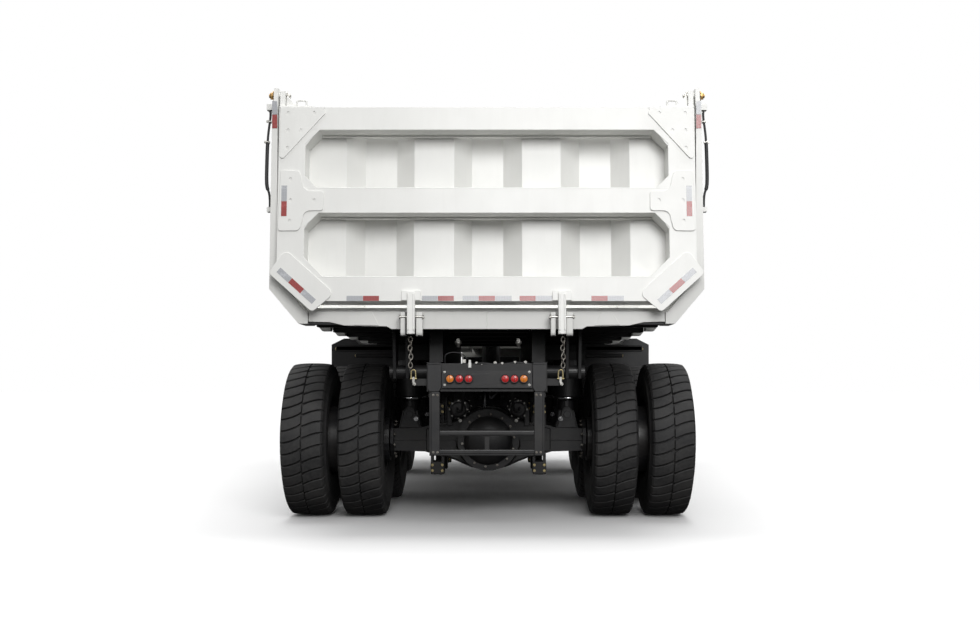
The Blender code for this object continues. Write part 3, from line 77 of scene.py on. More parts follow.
# %% Shader arithmetic
class Wire:
    """An output socket that can be added, multiplied and compared."""

    def __init__(self, tree, socket):
        self.tree = tree
        self.socket = socket

    def node(self, kind, settings=None, inputs=None, output=0):
        """Any node: its settings first, then the values or links of its sockets."""
        made = self.tree.nodes.new(kind)
        for key, value in (settings or {}).items():
            if key == "stops":
                ramp = made.color_ramp
                while len(ramp.elements) < len(value):
                    ramp.elements.new(0.5)
                for element, (place, colour) in zip(ramp.elements, value):
                    element.position = place
                    element.color = (*colour, 1) if len(colour) == 3 else colour
            else:
                setattr(made, key, value)
        for key, value in (inputs or {}).items():
            if isinstance(value, Wire):
                self.tree.links.new(value.socket, made.inputs[key])
            else:
                made.inputs[key].default_value = value
        return Wire(self.tree, made.outputs[output])

    def maths(self, operation, other=0.0, swapped=False):
        first, second = (other, self) if swapped else (self, other)
        return self.node("ShaderNodeMath", {"operation": operation}, {0: first, 1: second})

    def __add__(self, other):
        return self.maths("ADD", other)

    def __sub__(self, other):
        return self.maths("SUBTRACT", other)

    def __rsub__(self, other):
        return self.maths("SUBTRACT", other, True)

    def __mul__(self, other):
        return self.maths("MULTIPLY", other)

    def __gt__(self, other):
        return self.maths("GREATER_THAN", other)

    def __lt__(self, other):
        return self.maths("LESS_THAN", other)

    __radd__ = __add__
    __rmul__ = __mul__

    def axis(self, name):
        """One of X, Y and Z of a vector."""
        return self.node("ShaderNodeSeparateXYZ", None, {0: self}, name)

    def noise(self, scale, detail=4.0, roughness=0.55):
        """Cloudy noise over this vector."""
        return self.node("ShaderNodeTexNoise", None,
                         {"Vector": self, "Scale": scale, "Detail": detail, "Roughness": roughness})

    def ramp(self, *stops):
        """A colour from this value, by stops of (place, colour)."""
        return self.node("ShaderNodeValToRGB", {"stops": stops}, {0: self})

    def fade(self, low, high):
        """0 to 1 as this value goes from low to high."""
        return self.node("ShaderNodeMapRange", None, {"Value": self, "From Min": low, "From Max": high})

    def mix(self, first, second):
        """A colour between two colours, by this factor."""
        ends = [value if isinstance(value, Wire) else (*value, 1) for value in (first, second)]
        return self.node("ShaderNodeMix", {"data_type": "RGBA"}, {0: self, 6: ends[0], 7: ends[1]}, 2)


def new_finish(name, **constants):
    """A Principled material with its constants set; gives the material and its Object coordinates."""
    material = bpy.data.materials.new(name)
    material.use_nodes = True
    tree = material.node_tree
    surface = tree.nodes["Principled BSDF"]
    for key, value in constants.items():
        surface.inputs[key.replace("_", " ")].default_value = value
    place = Wire(tree, tree.nodes.new("ShaderNodeTexCoord").outputs["Object"])
    return material, place


def feed(material, relief=None, distance=0.002, **wires):
    """Link wires to the shader's sockets, and a height to its bump."""
    tree = material.node_tree
    surface = tree.nodes["Principled BSDF"]
    for key, wire in wires.items():
        tree.links.new(wire.socket, surface.inputs[key.replace("_", " ")])
    if relief is not None:
        bump = relief.node("ShaderNodeBump", None, {"Height": relief, "Distance": distance, "Strength": 1.0})
        tree.links.new(bump.socket, surface.inputs["Normal"])
    return material


# %% [markdown]
# Painted steel is never one flat colour. Sprayed panels carry a faint cloudiness and orange peel, road dust gathers
# towards the ground, and rain leaves long upright streaks. White and black paint share one recipe with their own
# colours and amounts.

# %% Paints
DUST = (0.30, 0.27, 0.23)


def paint(name, colour, cloud, dust, roughness, streaks=0.0):
    """Sprayed paint: cloudiness, dust low down, upright streaks, orange peel."""
    material, place = new_finish(name, Coat_Weight=0.15, Coat_Roughness=0.2)
    base = place.noise(1.7).fade(0.3, 0.7).mix(colour, cloud)
    tall = place.node("ShaderNodeMapping", None, {"Vector": place, "Scale": (9, 9, 0.7)})
    streak = tall.noise(2.2).fade(0.5, 0.8) * streaks
    streaked = streak.mix(base, DUST)
    low = (1 - place.axis("Z").fade(0.3, 2.2)) * place.noise(5, 6).fade(0.38, 0.75) * dust
    body = low.mix(streaked, DUST)
    rough = place.noise(7) * 0.18 + low * 0.3 + (roughness - 0.09)
    peel = place.noise(420, 1) * 0.12 + place.noise(2.5, 2) * 0.9
    return feed(material, peel, 0.0012, Base_Color=body, Roughness=rough)


white_paint = paint("white_paint", (0.80, 0.80, 0.775), (0.75, 0.75, 0.725), 0.12, 0.34, 0.04)
black_paint = paint("black_paint", (0.006, 0.006, 0.007), (0.010, 0.010, 0.011), 0.07, 0.50)
grey_paint = paint("grey_paint", (0.011, 0.011, 0.012), (0.017, 0.017, 0.019), 0.08, 0.44)
wheel_paint = paint("wheel_paint", (0.014, 0.014, 0.016), (0.024, 0.024, 0.026), 0.16, 0.44)

# %% [markdown]
# Tyre rubber is a soft dark grey with paler scuffs, and dust sits in its pores. Cast iron is grainy, zinc and chrome
# are metals with fine scratches, and glass is tinted and smooth.

# %% Rubber, metals and glass
rubber, place = new_finish("tyre_rubber", Specular_IOR_Level=0.35)
scuff = place.noise(34, 8, 0.7).fade(0.42, 0.78)
rubber_colour = (place.noise(3.1).fade(0.35, 0.7) * 0.55 + scuff * 0.45).mix((0.019, 0.019, 0.020), (0.062, 0.060, 0.058))
feed(rubber, place.noise(160, 5) * 0.5 + scuff * 0.4, 0.0012, Base_Color=rubber_colour,
     Roughness=scuff * 0.2 + 0.62)


def metal(name, colour, worn, roughness, grain=90):
    """Bare or plated metal with cloudy wear and fine grain."""
    material, place = new_finish(name, Metallic=1.0)
    wear = place.noise(14, 6).fade(0.4, 0.75)
    fine = place.noise(grain, 4)
    return feed(material, fine * 0.4, 0.0006, Base_Color=wear.mix(colour, worn),
                Roughness=wear * 0.22 + fine * 0.1 + roughness)


zinc = metal("zinc", (0.62, 0.61, 0.58), (0.42, 0.41, 0.38), 0.30)
chrome = metal("bright_steel", (0.80, 0.80, 0.81), (0.66, 0.66, 0.67), 0.06, 240)
brass = metal("brass", (0.52, 0.33, 0.13), (0.30, 0.19, 0.09), 0.34)
iron = metal("engine_iron", (0.10, 0.10, 0.11), (0.06, 0.055, 0.05), 0.5)
chain_steel = metal("chain_steel", (0.30, 0.285, 0.26), (0.14, 0.12, 0.10), 0.42)
yellow_zinc = metal("yellow_zinc", (0.60, 0.50, 0.26), (0.42, 0.36, 0.22), 0.35)

glass, place = new_finish("cab_glass", Transmission_Weight=0.85, IOR=1.45)
haze = place.noise(4, 3).fade(0.3, 0.8)
feed(glass, None, Base_Color=haze.mix((0.55, 0.64, 0.66), (0.48, 0.57, 0.60)), Roughness=haze * 0.05 + 0.02)

cloth, place = new_finish("seat_fabric", Sheen_Weight=0.3)
weave = place.node("ShaderNodeTexWave", {"bands_direction": "DIAGONAL"}, {"Vector": place, "Scale": 160.0}, 1)
feed(cloth, weave, 0.0008, Base_Color=place.noise(20).mix((0.028, 0.028, 0.031), (0.055, 0.055, 0.060)),
     Roughness=place.noise(60) * 0.15 + 0.8)

plastic, place = new_finish("black_plastic")
feed(plastic, place.noise(300, 3), 0.0006, Base_Color=place.noise(8).mix((0.014, 0.014, 0.015), (0.024, 0.024, 0.026)),
     Roughness=place.noise(30) * 0.2 + 0.45)

# %% [markdown]
# Lamp lenses are coloured plastic with a moulded grid of prisms behind the face, each prism's colour painted darker
# towards its edges as painted shade, and each glows a little. The safety tape is a film of tiny six-sided cells, silver
# grey or deep red.

# %% Lenses and safety tape


def lens(name, colour, glow):
    """A coloured lens with small moulded prisms, each painted darker towards its edges as painted shade."""
    material, place = new_finish(name, Coat_Weight=1.0, Coat_Roughness=0.04, Emission_Strength=glow)
    cells = place.node("ShaderNodeTexVoronoi", None, {"Vector": place, "Scale": 150.0, "Randomness": 0.15})
    # painted shade: each prism cell's colour darkens from the lens colour at its middle to 0.45 of it at its edges
    shade = cells.fade(0.0, 0.7)
    prism_shade_colour = tuple(value * 0.45 for value in colour)
    tint = shade.mix(colour, prism_shade_colour)
    return feed(material, cells, 0.001, Base_Color=tint, Emission_Color=tint, Roughness=shade * 0.1 + 0.12)


amber_lens = lens("amber_lens", (0.85, 0.25, 0.03), 0.35)
red_lens = lens("red_lens", (0.62, 0.03, 0.03), 0.30)
clear_lens = lens("clear_lens", (0.72, 0.74, 0.76), 0.0)


def tape(name, colour):
    """Cell-patterned reflective film."""
    material, place = new_finish(name, Coat_Weight=0.6, Coat_Roughness=0.12)
    cells = place.node("ShaderNodeTexVoronoi", {"feature": "DISTANCE_TO_EDGE"},
                       {"Vector": place, "Scale": 75.0, "Randomness": 0.2})
    edge = 1 - cells.fade(0.0, 0.12)
    pale = tuple(min(1.0, value * 1.35 + 0.03) for value in colour)
    return feed(material, cells, 0.0004, Base_Color=edge.mix(colour, pale), Roughness=edge * 0.2 + 0.28)


grey_tape = tape("grey_tape", (0.36, 0.37, 0.39))
red_tape = tape("red_tape", (0.27, 0.022, 0.020))

# %% [markdown]
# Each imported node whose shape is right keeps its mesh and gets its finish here. Its loose triangles are welded and
# its hard edges rounded by live modifiers, because real plate always shows a thin line of light along an edge.

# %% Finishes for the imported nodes
SLOT_FINISH = {
    "white_paint": white_paint, "black_paint": black_paint, "grey_paint": grey_paint, "tyre_rubber": rubber,
    "wheel_paint": wheel_paint, "bright_steel": chrome, "engine_iron": iron, "cab_glass": glass,
    "seat_fabric": cloth, "rope": plastic,
}
PLAIN = ("windscreen", "side_window", "door_window", "left_rope", "right_rope")
for part in frame["record"]["subparts"]:
    shell = frame["nodes"][part["node"]]
    shell.data.materials.clear()
    shell.data.materials.append(SLOT_FINISH[part["material_slot"]])
    if part["node"] in PLAIN:
        continue
    weld = shell.modifiers.new("weld", "WELD")
    weld.merge_threshold = 0.0001
    edges = shell.modifiers.new("edges", "BEVEL")
    edges.limit_method = "ANGLE"
    edges.angle_limit = math.radians(35)
    edges.width = 0.004
    edges.segments = 2
    edges.use_clamp_overlap = True

# %% [markdown]
# The shaping tools below do what a hand does in Blender: add a primitive at its size and place, edit it, apply its
# modifiers, and leave its place in its mesh. Everything is deselected first, because an operator acts on all that is
# selected.

# %% Shaping tools
def pick(*pieces):
    """Select these pieces only, and make the first one active."""
    bpy.ops.object.select_all(action="DESELECT")
    for piece in pieces:
        piece.select_set(True)
    bpy.context.view_layer.objects.active = pieces[0]


def settle(piece):
    """Put a piece's place, turn and size in its mesh."""
    pick(piece)
    bpy.ops.object.transform_apply(location=True, rotation=True, scale=True)
    return piece


def face_out(piece, merge=0.00005):
    """Merge doubles and point every face outwards."""
    pick(piece)
    bpy.ops.object.mode_set(mode="EDIT")
    bpy.ops.mesh.select_all(action="SELECT")
    bpy.ops.mesh.remove_doubles(threshold=merge)
    bpy.ops.mesh.normals_make_consistent(inside=False)
    bpy.ops.object.mode_set(mode="OBJECT")
    return piece


def soften(piece, width=0.003, segments=2, angle=35):
    """Round a piece's hard edges."""
    pick(piece)
    bevel = piece.modifiers.new("soft", "BEVEL")
    bevel.width = width
    bevel.segments = segments
    bevel.limit_method = "ANGLE"
    bevel.angle_limit = math.radians(angle)
    bpy.ops.object.modifier_apply(modifier="soft")
    return piece


def smooth(piece, angle=35):
    """Shade round surfaces as round."""
    pick(piece)
    bpy.ops.object.shade_smooth_by_angle(angle=math.radians(angle))
    return piece


def block(x, y, z, edge=0.003):
    """A block between its low and high X, Y and Z, with softened edges."""
    ends = [sorted(stretch) for stretch in (x, y, z)]
    bpy.ops.mesh.primitive_cube_add(size=1, location=[sum(stretch) / 2 for stretch in ends])
    piece = bpy.context.object
    piece.scale = [high - low for low, high in ends]
    return soften(settle(piece), edge)


def bar(start, end, radius, sides=16, edge=0.0015):
    """A round bar between two points."""
    start, end = Vector(start), Vector(end)
    run = end - start
    bpy.ops.mesh.primitive_cylinder_add(vertices=sides, radius=radius, depth=run.length, location=(start + end) / 2)
    piece = bpy.context.object
    piece.rotation_euler = run.to_track_quat("Z", "Y").to_euler()
    soften(settle(piece), min(edge, radius * 0.3), 1, 60)
    return smooth(piece)


def plate(outline, stretch, edge=0.002, facing="Y"):
    """A flat outline extruded along Y, X or Z; its points are (x, z), (y, z) or (x, y)."""
    near, far = sorted(stretch)
    lay = {"Y": lambda u, v: (u, near, v), "X": lambda u, v: (near, u, v), "Z": lambda u, v: (u, v, near)}[facing]
    bpy.ops.mesh.primitive_circle_add(vertices=len(outline), radius=1, fill_type="NGON")
    piece = bpy.context.object
    for vertex, point in zip(piece.data.vertices, outline):
        vertex.co = lay(*point)
    pick(piece)
    bpy.ops.object.mode_set(mode="EDIT")
    bpy.ops.mesh.select_all(action="SELECT")
    along = [far - near if axis == facing else 0 for axis in "XYZ"]
    bpy.ops.mesh.extrude_region_move(TRANSFORM_OT_translate={"value": along})
    bpy.ops.mesh.select_all(action="SELECT")
    bpy.ops.mesh.normals_make_consistent(inside=False)
    bpy.ops.object.mode_set(mode="OBJECT")
    return soften(piece, edge, 1) if edge else piece


def spun(outline, centre, axis="X", steps=48, closed=True, way=1):
    """An outline of (radius, along) points spun about an axis through the centre."""
    bpy.ops.mesh.primitive_circle_add(vertices=len(outline), radius=1)
    piece = bpy.context.object
    flip = {"X": lambda r, a: (way * a, 0, r), "Y": lambda r, a: (r, way * a, 0), "Z": lambda r, a: (r, 0, way * a)}[axis]
    for vertex, point in zip(piece.data.vertices, outline):
        vertex.co = flip(*point)
    if not closed:
        ends = {0, len(outline) - 1}
        for edge in piece.data.edges:
            edge.select = set(edge.vertices) == ends
        for vertex in piece.data.vertices:
            vertex.select = False
        pick(piece)
        bpy.ops.object.mode_set(mode="EDIT")
        bpy.ops.mesh.select_mode(type="EDGE")
        bpy.ops.mesh.delete(type="EDGE")
        bpy.ops.mesh.select_mode(type="VERT")
        bpy.ops.object.mode_set(mode="OBJECT")
    pick(piece)
    bpy.ops.object.mode_set(mode="EDIT")
    bpy.ops.mesh.select_all(action="SELECT")
    turn = {"X": (1, 0, 0), "Y": (0, 1, 0), "Z": (0, 0, 1)}[axis]
    bpy.ops.mesh.spin(steps=steps, angle=math.tau, center=(0, 0, 0), axis=turn)
    bpy.ops.object.mode_set(mode="OBJECT")
    face_out(piece)
    piece.data.transform(Matrix.Translation(centre))
    return smooth(piece)


def copied(piece, turn=None, shift=(0, 0, 0)):
    """A copy with its own mesh, turned and then shifted."""
    twin = piece.copy()
    twin.data = piece.data.copy()
    bpy.context.collection.objects.link(twin)
    twin.data.transform(Matrix.Translation(shift) @ (turn or Matrix.Identity(4)))
    return twin


def mirrored(piece):
    """A mirror copy on the truck's other side."""
    twin = copied(piece, Matrix.Scale(-1, 4, (1, 0, 0)))
    twin.data.flip_normals()
    return twin


def ringed(piece, count, centre, axis="X", start=0.0):
    """Copies of a piece spaced round an axis, the piece among them."""
    there = Matrix.Translation(centre)
    copies = []
    for index in range(count):
        turn = there @ Matrix.Rotation(start + math.tau * index / count, 4, axis) @ there.inverted()
        copies.append(copied(piece, turn))
    bpy.data.objects.remove(piece)
    return copies


def joined(pieces, name=None):
    """One piece from several."""
    pick(*pieces)
    if len(pieces) > 1:
        bpy.ops.object.join()
    piece = bpy.context.object
    if name:
        piece.name = name
    return piece


def fitted(name, pieces, finish, body, stands_for=()):
    """Join pieces into one named piece with a finish, riding on a body."""
    piece = joined(pieces, name)
    piece.data.name = name
    piece.data.materials.clear()
    piece.data.materials.append(finish)
    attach(piece, body)
    if stands_for:
        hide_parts(*stands_for)
    return piece


def nut(place, facing, radius=0.016, height=0.014):
    """A six-sided nut on its washer, with the bolt's end showing; facing is an axis with its sign."""
    place, way = Vector(place), Vector(facing)
    return joined([
        bar(place, place + way * height * 0.25, radius * 1.35, 20, 0.0005),
        bar(place, place + way * height, radius, 6, 0.001),
        bar(place, place + way * height * 1.35, radius * 0.55, 12, 0.001),
    ])


# %% [markdown]
# ## Tyres
# A rock tyre is a smooth carcass under two rows of deep curved blocks. Each block leans from one shoulder towards the
# middle, wraps a little way down the side and leaves a black groove to the next. One block of each row is a small grid
# bent over the crown, thickened inwards and bevelled, then an array turns it round the tyre.

# %% One master tyre
TYRE_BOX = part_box("front_left_tyre")
tyre_radius = (TYRE_BOX[1][2] - TYRE_BOX[0][2]) / 2
BLOCK_ROWS = 42
GROOVE = 0.017
PITCH = math.tau * tyre_radius / BLOCK_ROWS
# along from the middle, depth below the crown
CROWN = ((0.004, 0.0), (0.045, 0.0005), (0.095, 0.0025), (0.145, 0.007), (0.178, 0.014), (0.193, 0.034), (0.203, 0.078))
TREAD_HALF = 0.19
SWEEP = 0.062


def groove_height(along, row):
    """How far a groove has climbed round the tyre at this place across it."""
    if row < 0:
        return SWEEP * max(0.0, (along + TREAD_HALF) / TREAD_HALF) ** 1.8
    return SWEEP * (1 - max(0.0, 1 - along / TREAD_HALF) ** 1.8)


def tread_block(row):
    """One block of the left (-1) or right (1) row, bent over the crown."""
    across, up = len(CROWN), 3
    bpy.ops.mesh.primitive_grid_add(x_subdivisions=across - 1, y_subdivisions=up - 1)
    piece = bpy.context.object
    for vertex in piece.data.vertices:
        column = round((vertex.co.x + 1) / 2 * (across - 1))
        share = (vertex.co.y + 1) / 2
        along, depth = CROWN[column]
        along *= row
        narrowing = 0.006 * (column == 0)
        height = groove_height(along, row) + narrowing + share * (PITCH - GROOVE - 2 * narrowing)
        radius = tyre_radius - depth
        angle = height / tyre_radius
        vertex.co = (along, -radius * math.cos(angle), radius * math.sin(angle))
    face_out(piece)
    solid = piece.modifiers.new("depth", "SOLIDIFY")
    solid.thickness = 0.036
    solid.offset = -1
    if sum(face.normal.dot(face.center - Vector((face.center.x, 0, 0))) for face in piece.data.polygons) < 0:
        piece.data.flip_normals()
    pick(piece)
    bpy.ops.object.modifier_apply(modifier="depth")
    return soften(piece, 0.004, 1, 50)


carcass = [(0.326, 0.168), (0.352, 0.178), (0.378, 0.184), (0.384, 0.190), (0.44, 0.203), (0.53, 0.214),
           (0.60, 0.211), (0.605, 0.2145), (0.625, 0.2135), (0.630, 0.209), (0.675, 0.198), (0.705, 0.182),
           (0.714, 0.10), (0.716, 0.0)]
ring = carcass + [(radius, -along) for radius, along in reversed(carcass[:-1])]
rows = []
for row in (-1, 1):
    template = tread_block(row)
    rows += ringed(template, BLOCK_ROWS, (0, 0, 0), "X", 0.0 if row < 0 else 0.1)
master_tyre = joined([spun(ring, (0, 0, 0), "X", 84), *rows])
print("tyre radius", round(tyre_radius, 3), "faces", len(master_tyre.data.polygons))

# %% [markdown]
# The rear wheels carry two tyres on one wide rim band with rolled edges; each front wheel carries one. The blocks
# lean the same way on every tyre, as they do when all are the same stock.

# %% Tyres in their places
TWIN_HALF = 0.265


def rim_band(centre, half):
    """A rim band with its rolled edges and a valley between them."""
    outline = [(0.3052, -half), (0.346, -half), (0.352, -half + 0.012), (0.345, -half + 0.022), (0.326, -half + 0.03),
               (0.322, -half + 0.09), (0.322, half - 0.09), (0.326, half - 0.03), (0.345, half - 0.022),
               (0.352, half - 0.012), (0.346, half), (0.3052, half)]
    return spun(outline, centre, "X", 48)


for side_name, side in SIDES:
    for axle in AXLES:
        spin = JOINTS[f"{axle}_{side_name}_spin"]
        body = f"{axle}_{side_name}_wheel_set"
        pair = [copied(master_tyre, None, spin + Vector((way * TWIN_HALF, 0, 0))) for way in (-1, 1)]
        fitted(f"{axle}_{side_name}_treaded_tyres", pair, rubber, body,
               [f"{axle}_{side_name}_tyres"])
        fitted(f"{axle}_{side_name}_rim_band", [rim_band(spin, TWIN_HALF + 0.172)], wheel_paint, body)
    spin = JOINTS[f"front_{side_name}_spin"]
    fitted(f"front_{side_name}_treaded_tyre", [copied(master_tyre, None, spin)], rubber,
           f"front_{side_name}_wheel_set", [f"front_{side_name}_tyre"])
bpy.data.objects.remove(master_tyre)

# %% [markdown]
# ## Wheels
# The rim discs are held by a ring of nuts on long studs, with a smaller ring on the planetary hub's cover. One stud
# is modelled and copied round the axle.

# %% Wheel nuts and hub covers
for side_name, side in SIDES:
    outward = (side, 0, 0)
    for axle in AXLES:
        spin = JOINTS[f"{axle}_{side_name}_spin"]
        face = spin + Vector((side * 0.03, 0, 0))
        studs = ringed(nut(face + Vector((0, 0, 0.245)), outward, 0.021, 0.024), 12, spin)
        cover_x = spin.x + side * 0.36
        cover = spun([(0.0, 0.014), (0.075, 0.014), (0.085, 0.006), (0.15, 0.006), (0.158, -0.002), (0.0, -0.002)],
                     (cover_x, spin.y, spin.z), "X", 32, False, side)
        bolts = ringed(nut((cover_x + side * 0.005, spin.y, spin.z + 0.122), outward, 0.011, 0.009), 10, spin)
        fitted(f"{axle}_{side_name}_wheel_nuts", studs + bolts, zinc, f"{axle}_{side_name}_wheel_set")
        fitted(f"{axle}_{side_name}_hub_cover", [cover], wheel_paint, f"{axle}_{side_name}_wheel_set")
    spin = JOINTS[f"front_{side_name}_spin"]
    disc_x = spin.x + side * 0.08
    studs = ringed(nut((disc_x, spin.y, spin.z + 0.23), outward, 0.019, 0.022), 10, spin)
    cover = spun([(0.0, 0.010), (0.060, 0.010), (0.09, 0.0), (0.115, 0.0), (0.117, -0.003), (0.0, -0.003)],
                 (spin.x + side * 0.15, spin.y, spin.z), "X", 32, False, side)
    bolts = ringed(nut((spin.x + side * 0.15, spin.y, spin.z + 0.098), outward, 0.009, 0.008), 8, spin)
    fitted(f"front_{side_name}_wheel_nuts", studs + bolts, zinc, f"front_{side_name}_wheel_set")
    fitted(f"front_{side_name}_hub_cover", [cover], wheel_paint, f"front_{side_name}_wheel_set")

# %% [markdown]
# ## Tailgate
# The gate hangs from two high pins and leans back to its closed slant. It is easiest to lay its plates on an upright
# gate and then turn them about the pins, as the real gate swings.

# %% The gate's slant
GATE_TILT = math.radians(5.2)
hung_turn = (Matrix.Translation(hinge) @ Matrix.Rotation(-GATE_TILT, 4, "X") @ Matrix.Translation(-hinge))
gate_y = hinge.y - 0.08
gate_half = (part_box("tailgate_frame")[1][0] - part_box("tailgate_frame")[0][0]) / 2
gate_top = hinge.z - 0.124
gate_bottom = gate_top - 1.652
skin = (gate_y - 0.010, gate_y + 0.002)


def hang(pieces):
    """Turn upright pieces back to the gate's slant."""
    for piece in pieces:
        piece.data.transform(hung_turn)
    return pieces


def arc(centre, radius, start, end, steps=5):
    """Points on a round corner, from one angle to another in degrees."""
    turns = [math.radians(start + (end - start) * step / steps) for step in range(steps + 1)]
    return [(centre[0] + radius * math.cos(turn), centre[1] + radius * math.sin(turn)) for turn in turns]


def pocked(piece, places, size=(0.013, 0.019)):
    """Sink oval plug-weld hollows in a plate's rear face."""
    pocks = []
    for x, z in places:
        bpy.ops.mesh.primitive_cylinder_add(vertices=20, radius=1, depth=0.012, location=(x, skin[0], z),
                                            rotation=(math.pi / 2, 0, 0))
        pock = bpy.context.object
        settle(pock)
        pock.data.transform(Matrix.Translation((x, skin[0], z)) @ Matrix.Diagonal((size[0], 1, size[1], 1))
                            @ Matrix.Translation((-x, -skin[0], -z)))
        pocks.append(pock)
    tool = joined(pocks)
    cut = piece.modifiers.new("pocks", "BOOLEAN")
    cut.operation = "DIFFERENCE"
    cut.object = tool
    pick(piece)
    bpy.ops.object.modifier_apply(modifier="pocks")
    bpy.data.objects.remove(tool)
    return piece


# %% [markdown]
# Doubler plates spread the load at each corner: a big triangle under the hinge, a T where the middle rail meets the
# post, and a rounded strap across the cut lower corner. Small gussets fill the inner corners.

# %% Doublers and gussets
CORNER_TRIANGLE = [(-1.732, 3.602), (-1.732, 3.175), *arc((-1.712, 3.183), 0.02, 200, 310, 3), (-1.676, 3.190),
                   (-1.376, 3.528), *arc((-1.392, 3.556), 0.035, -30, 45, 4), (-1.362, 3.602)]
TEE = [(-1.722, 3.050), *arc((-1.712, 2.570), 0.026, 180, 265, 4), (-1.60, 2.545), *arc((-1.592, 2.590), 0.045, 275, 350, 4),
       (-1.530, 2.650), *arc((-1.470, 2.655), 0.06, 175, 90, 5), *arc((-1.385, 2.740), 0.024, -90, 0, 3),
       *arc((-1.385, 2.860), 0.024, 0, 90, 3), *arc((-1.470, 2.950), 0.066, 270, 185, 5), (-1.553, 3.020),
       *arc((-1.592, 3.025), 0.034, 5, 90, 4), (-1.70, 3.060)]
STRAP_CENTRE = (-1.545, 2.115)
GUSSETS = (((-1.521, 3.412), (-1.409, 3.412), (-1.521, 3.268)), ((-1.521, 3.010), (-1.521, 2.913), (-1.419, 2.913)),
           ((-1.521, 2.702), (-1.423, 2.702), (-1.521, 2.560)))
strap_turn = (Matrix.Translation((STRAP_CENTRE[0], 0, STRAP_CENTRE[1])) @ Matrix.Rotation(math.radians(42), 4, "Y"))
strap = plate([*arc((-0.215, -0.085), 0.035, 180, 270), *arc((0.215, -0.085), 0.035, 270, 360),
               *arc((0.215, 0.065), 0.055, 0, 90), *arc((-0.215, 0.065), 0.055, 90, 180)], skin)
strap.data.transform(strap_turn)
left_plates = [
    pocked(plate(CORNER_TRIANGLE, skin, 0.0025),
           ((-1.667, 3.548), (-1.449, 3.548), (-1.667, 3.399), (-1.558, 3.399), (-1.669, 3.248))),
    pocked(plate(TEE, skin, 0.0025), ((-1.637, 2.979), (-1.636, 2.800), (-1.437, 2.800), (-1.639, 2.626))),
    strap,
    *[plate(outline, (gate_y + 0.004, gate_y + 0.016)) for outline in GUSSETS],
]
gate_plates = left_plates + [mirrored(piece) for piece in left_plates]
fitted("tailgate_doublers", hang(gate_plates), white_paint, "tailgate")

# %% [markdown]
# The rails are folded channels. A rolled lip runs along the lower edge of each, and a fillet of weld joins it to the
# sheet behind. They catch a line of light above a line of shade.

# %% Rail lips and weld lines
window_half = gate_half - 0.226
lips = []
for rail_low in (gate_top - 0.196, gate_top - 0.906):
    lips.append(bar((-window_half, gate_y + 0.006, rail_low + 0.004), (window_half, gate_y + 0.006, rail_low + 0.004),
                    0.007, 10))
    lips.append(block((-window_half + 0.10, window_half - 0.10), (gate_y + 0.150, gate_y + 0.196),
                      (rail_low - 0.012, rail_low + 0.004), 0.004))
for rail_high in (gate_top - 0.691, gate_bottom + 0.209):
    lips.append(bar((-window_half, gate_y + 0.005, rail_high - 0.005), (window_half, gate_y + 0.005, rail_high - 0.005),
                    0.006, 10))
lips.append(bar((-gate_half + 0.24, gate_y + 0.006, gate_bottom + 0.006),
                (gate_half - 0.24, gate_y + 0.006, gate_bottom + 0.006), 0.007, 10))
fitted("tailgate_rail_lips", hang(lips), white_paint, "tailgate")

# %% [markdown]
# Safety tape marks the gate's outline for a driver behind: blocks of silver grey and deep red along the lower rail,
# upright on the T plates, and across the lower corners.

# %% Safety tape
film = (skin[0] - 0.0012, skin[0] + 0.0005)
rail_film = (gate_y - 0.0016, gate_y + 0.0005)
tape_low, tape_high = gate_bottom + 0.003, gate_bottom + 0.045
LOWER_TAPE = ((-1.158, -1.024, grey_tape), (-1.022, -0.890, red_tape), (-0.534, -0.404, grey_tape),
              (-0.402, -0.271, red_tape), (-0.197, -0.068, grey_tape), (-0.066, 0.069, red_tape),
              (0.071, 0.207, grey_tape), (0.273, 0.405, red_tape), (0.407, 0.541, grey_tape),
              (0.867, 1.001, red_tape), (1.003, 1.135, grey_tape))
films = {grey_tape: [], red_tape: []}
for start, end, finish in LOWER_TAPE:
    films[finish].append(plate([(start, tape_low), (end, tape_low), (end, tape_high), (start, tape_high)],
                               rail_film, 0))
for side in (-1, 1):
    near, far = side * 1.665, side * 1.711
    for low, high, finish in ((2.797, 2.928, grey_tape), (2.668, 2.795, red_tape)):
        films[finish].append(plate([(near, low), (far, low), (far, high), (near, high)], film, 0))
    for low, high, finish in ((-0.200, -0.070, grey_tape), (-0.068, 0.068, red_tape), (0.070, 0.200, grey_tape)):
        strip = plate([(low, -0.025), (high, -0.025), (high, 0.025), (low, 0.025)], film, 0)
        strip.data.transform(strap_turn @ Matrix.Translation((0, 0, -0.045)))
        if side > 0:
            strip.data.transform(Matrix.Scale(-1, 4, (1, 0, 0)))
        films[finish].append(strip)
for finish, strips in films.items():
    for strip in strips:
        face_out(strip)
    fitted(f"tailgate_{finish.name}", hang(strips), finish, "tailgate")

# %% [markdown]
# ## Hinges
# Each gate arm hangs between the body's lug and a cheek plate on one long pin, closed by a brass nut outside and a
# plated nut inside. A sloping web, a bent top plate and a lifting loop stand beside it.

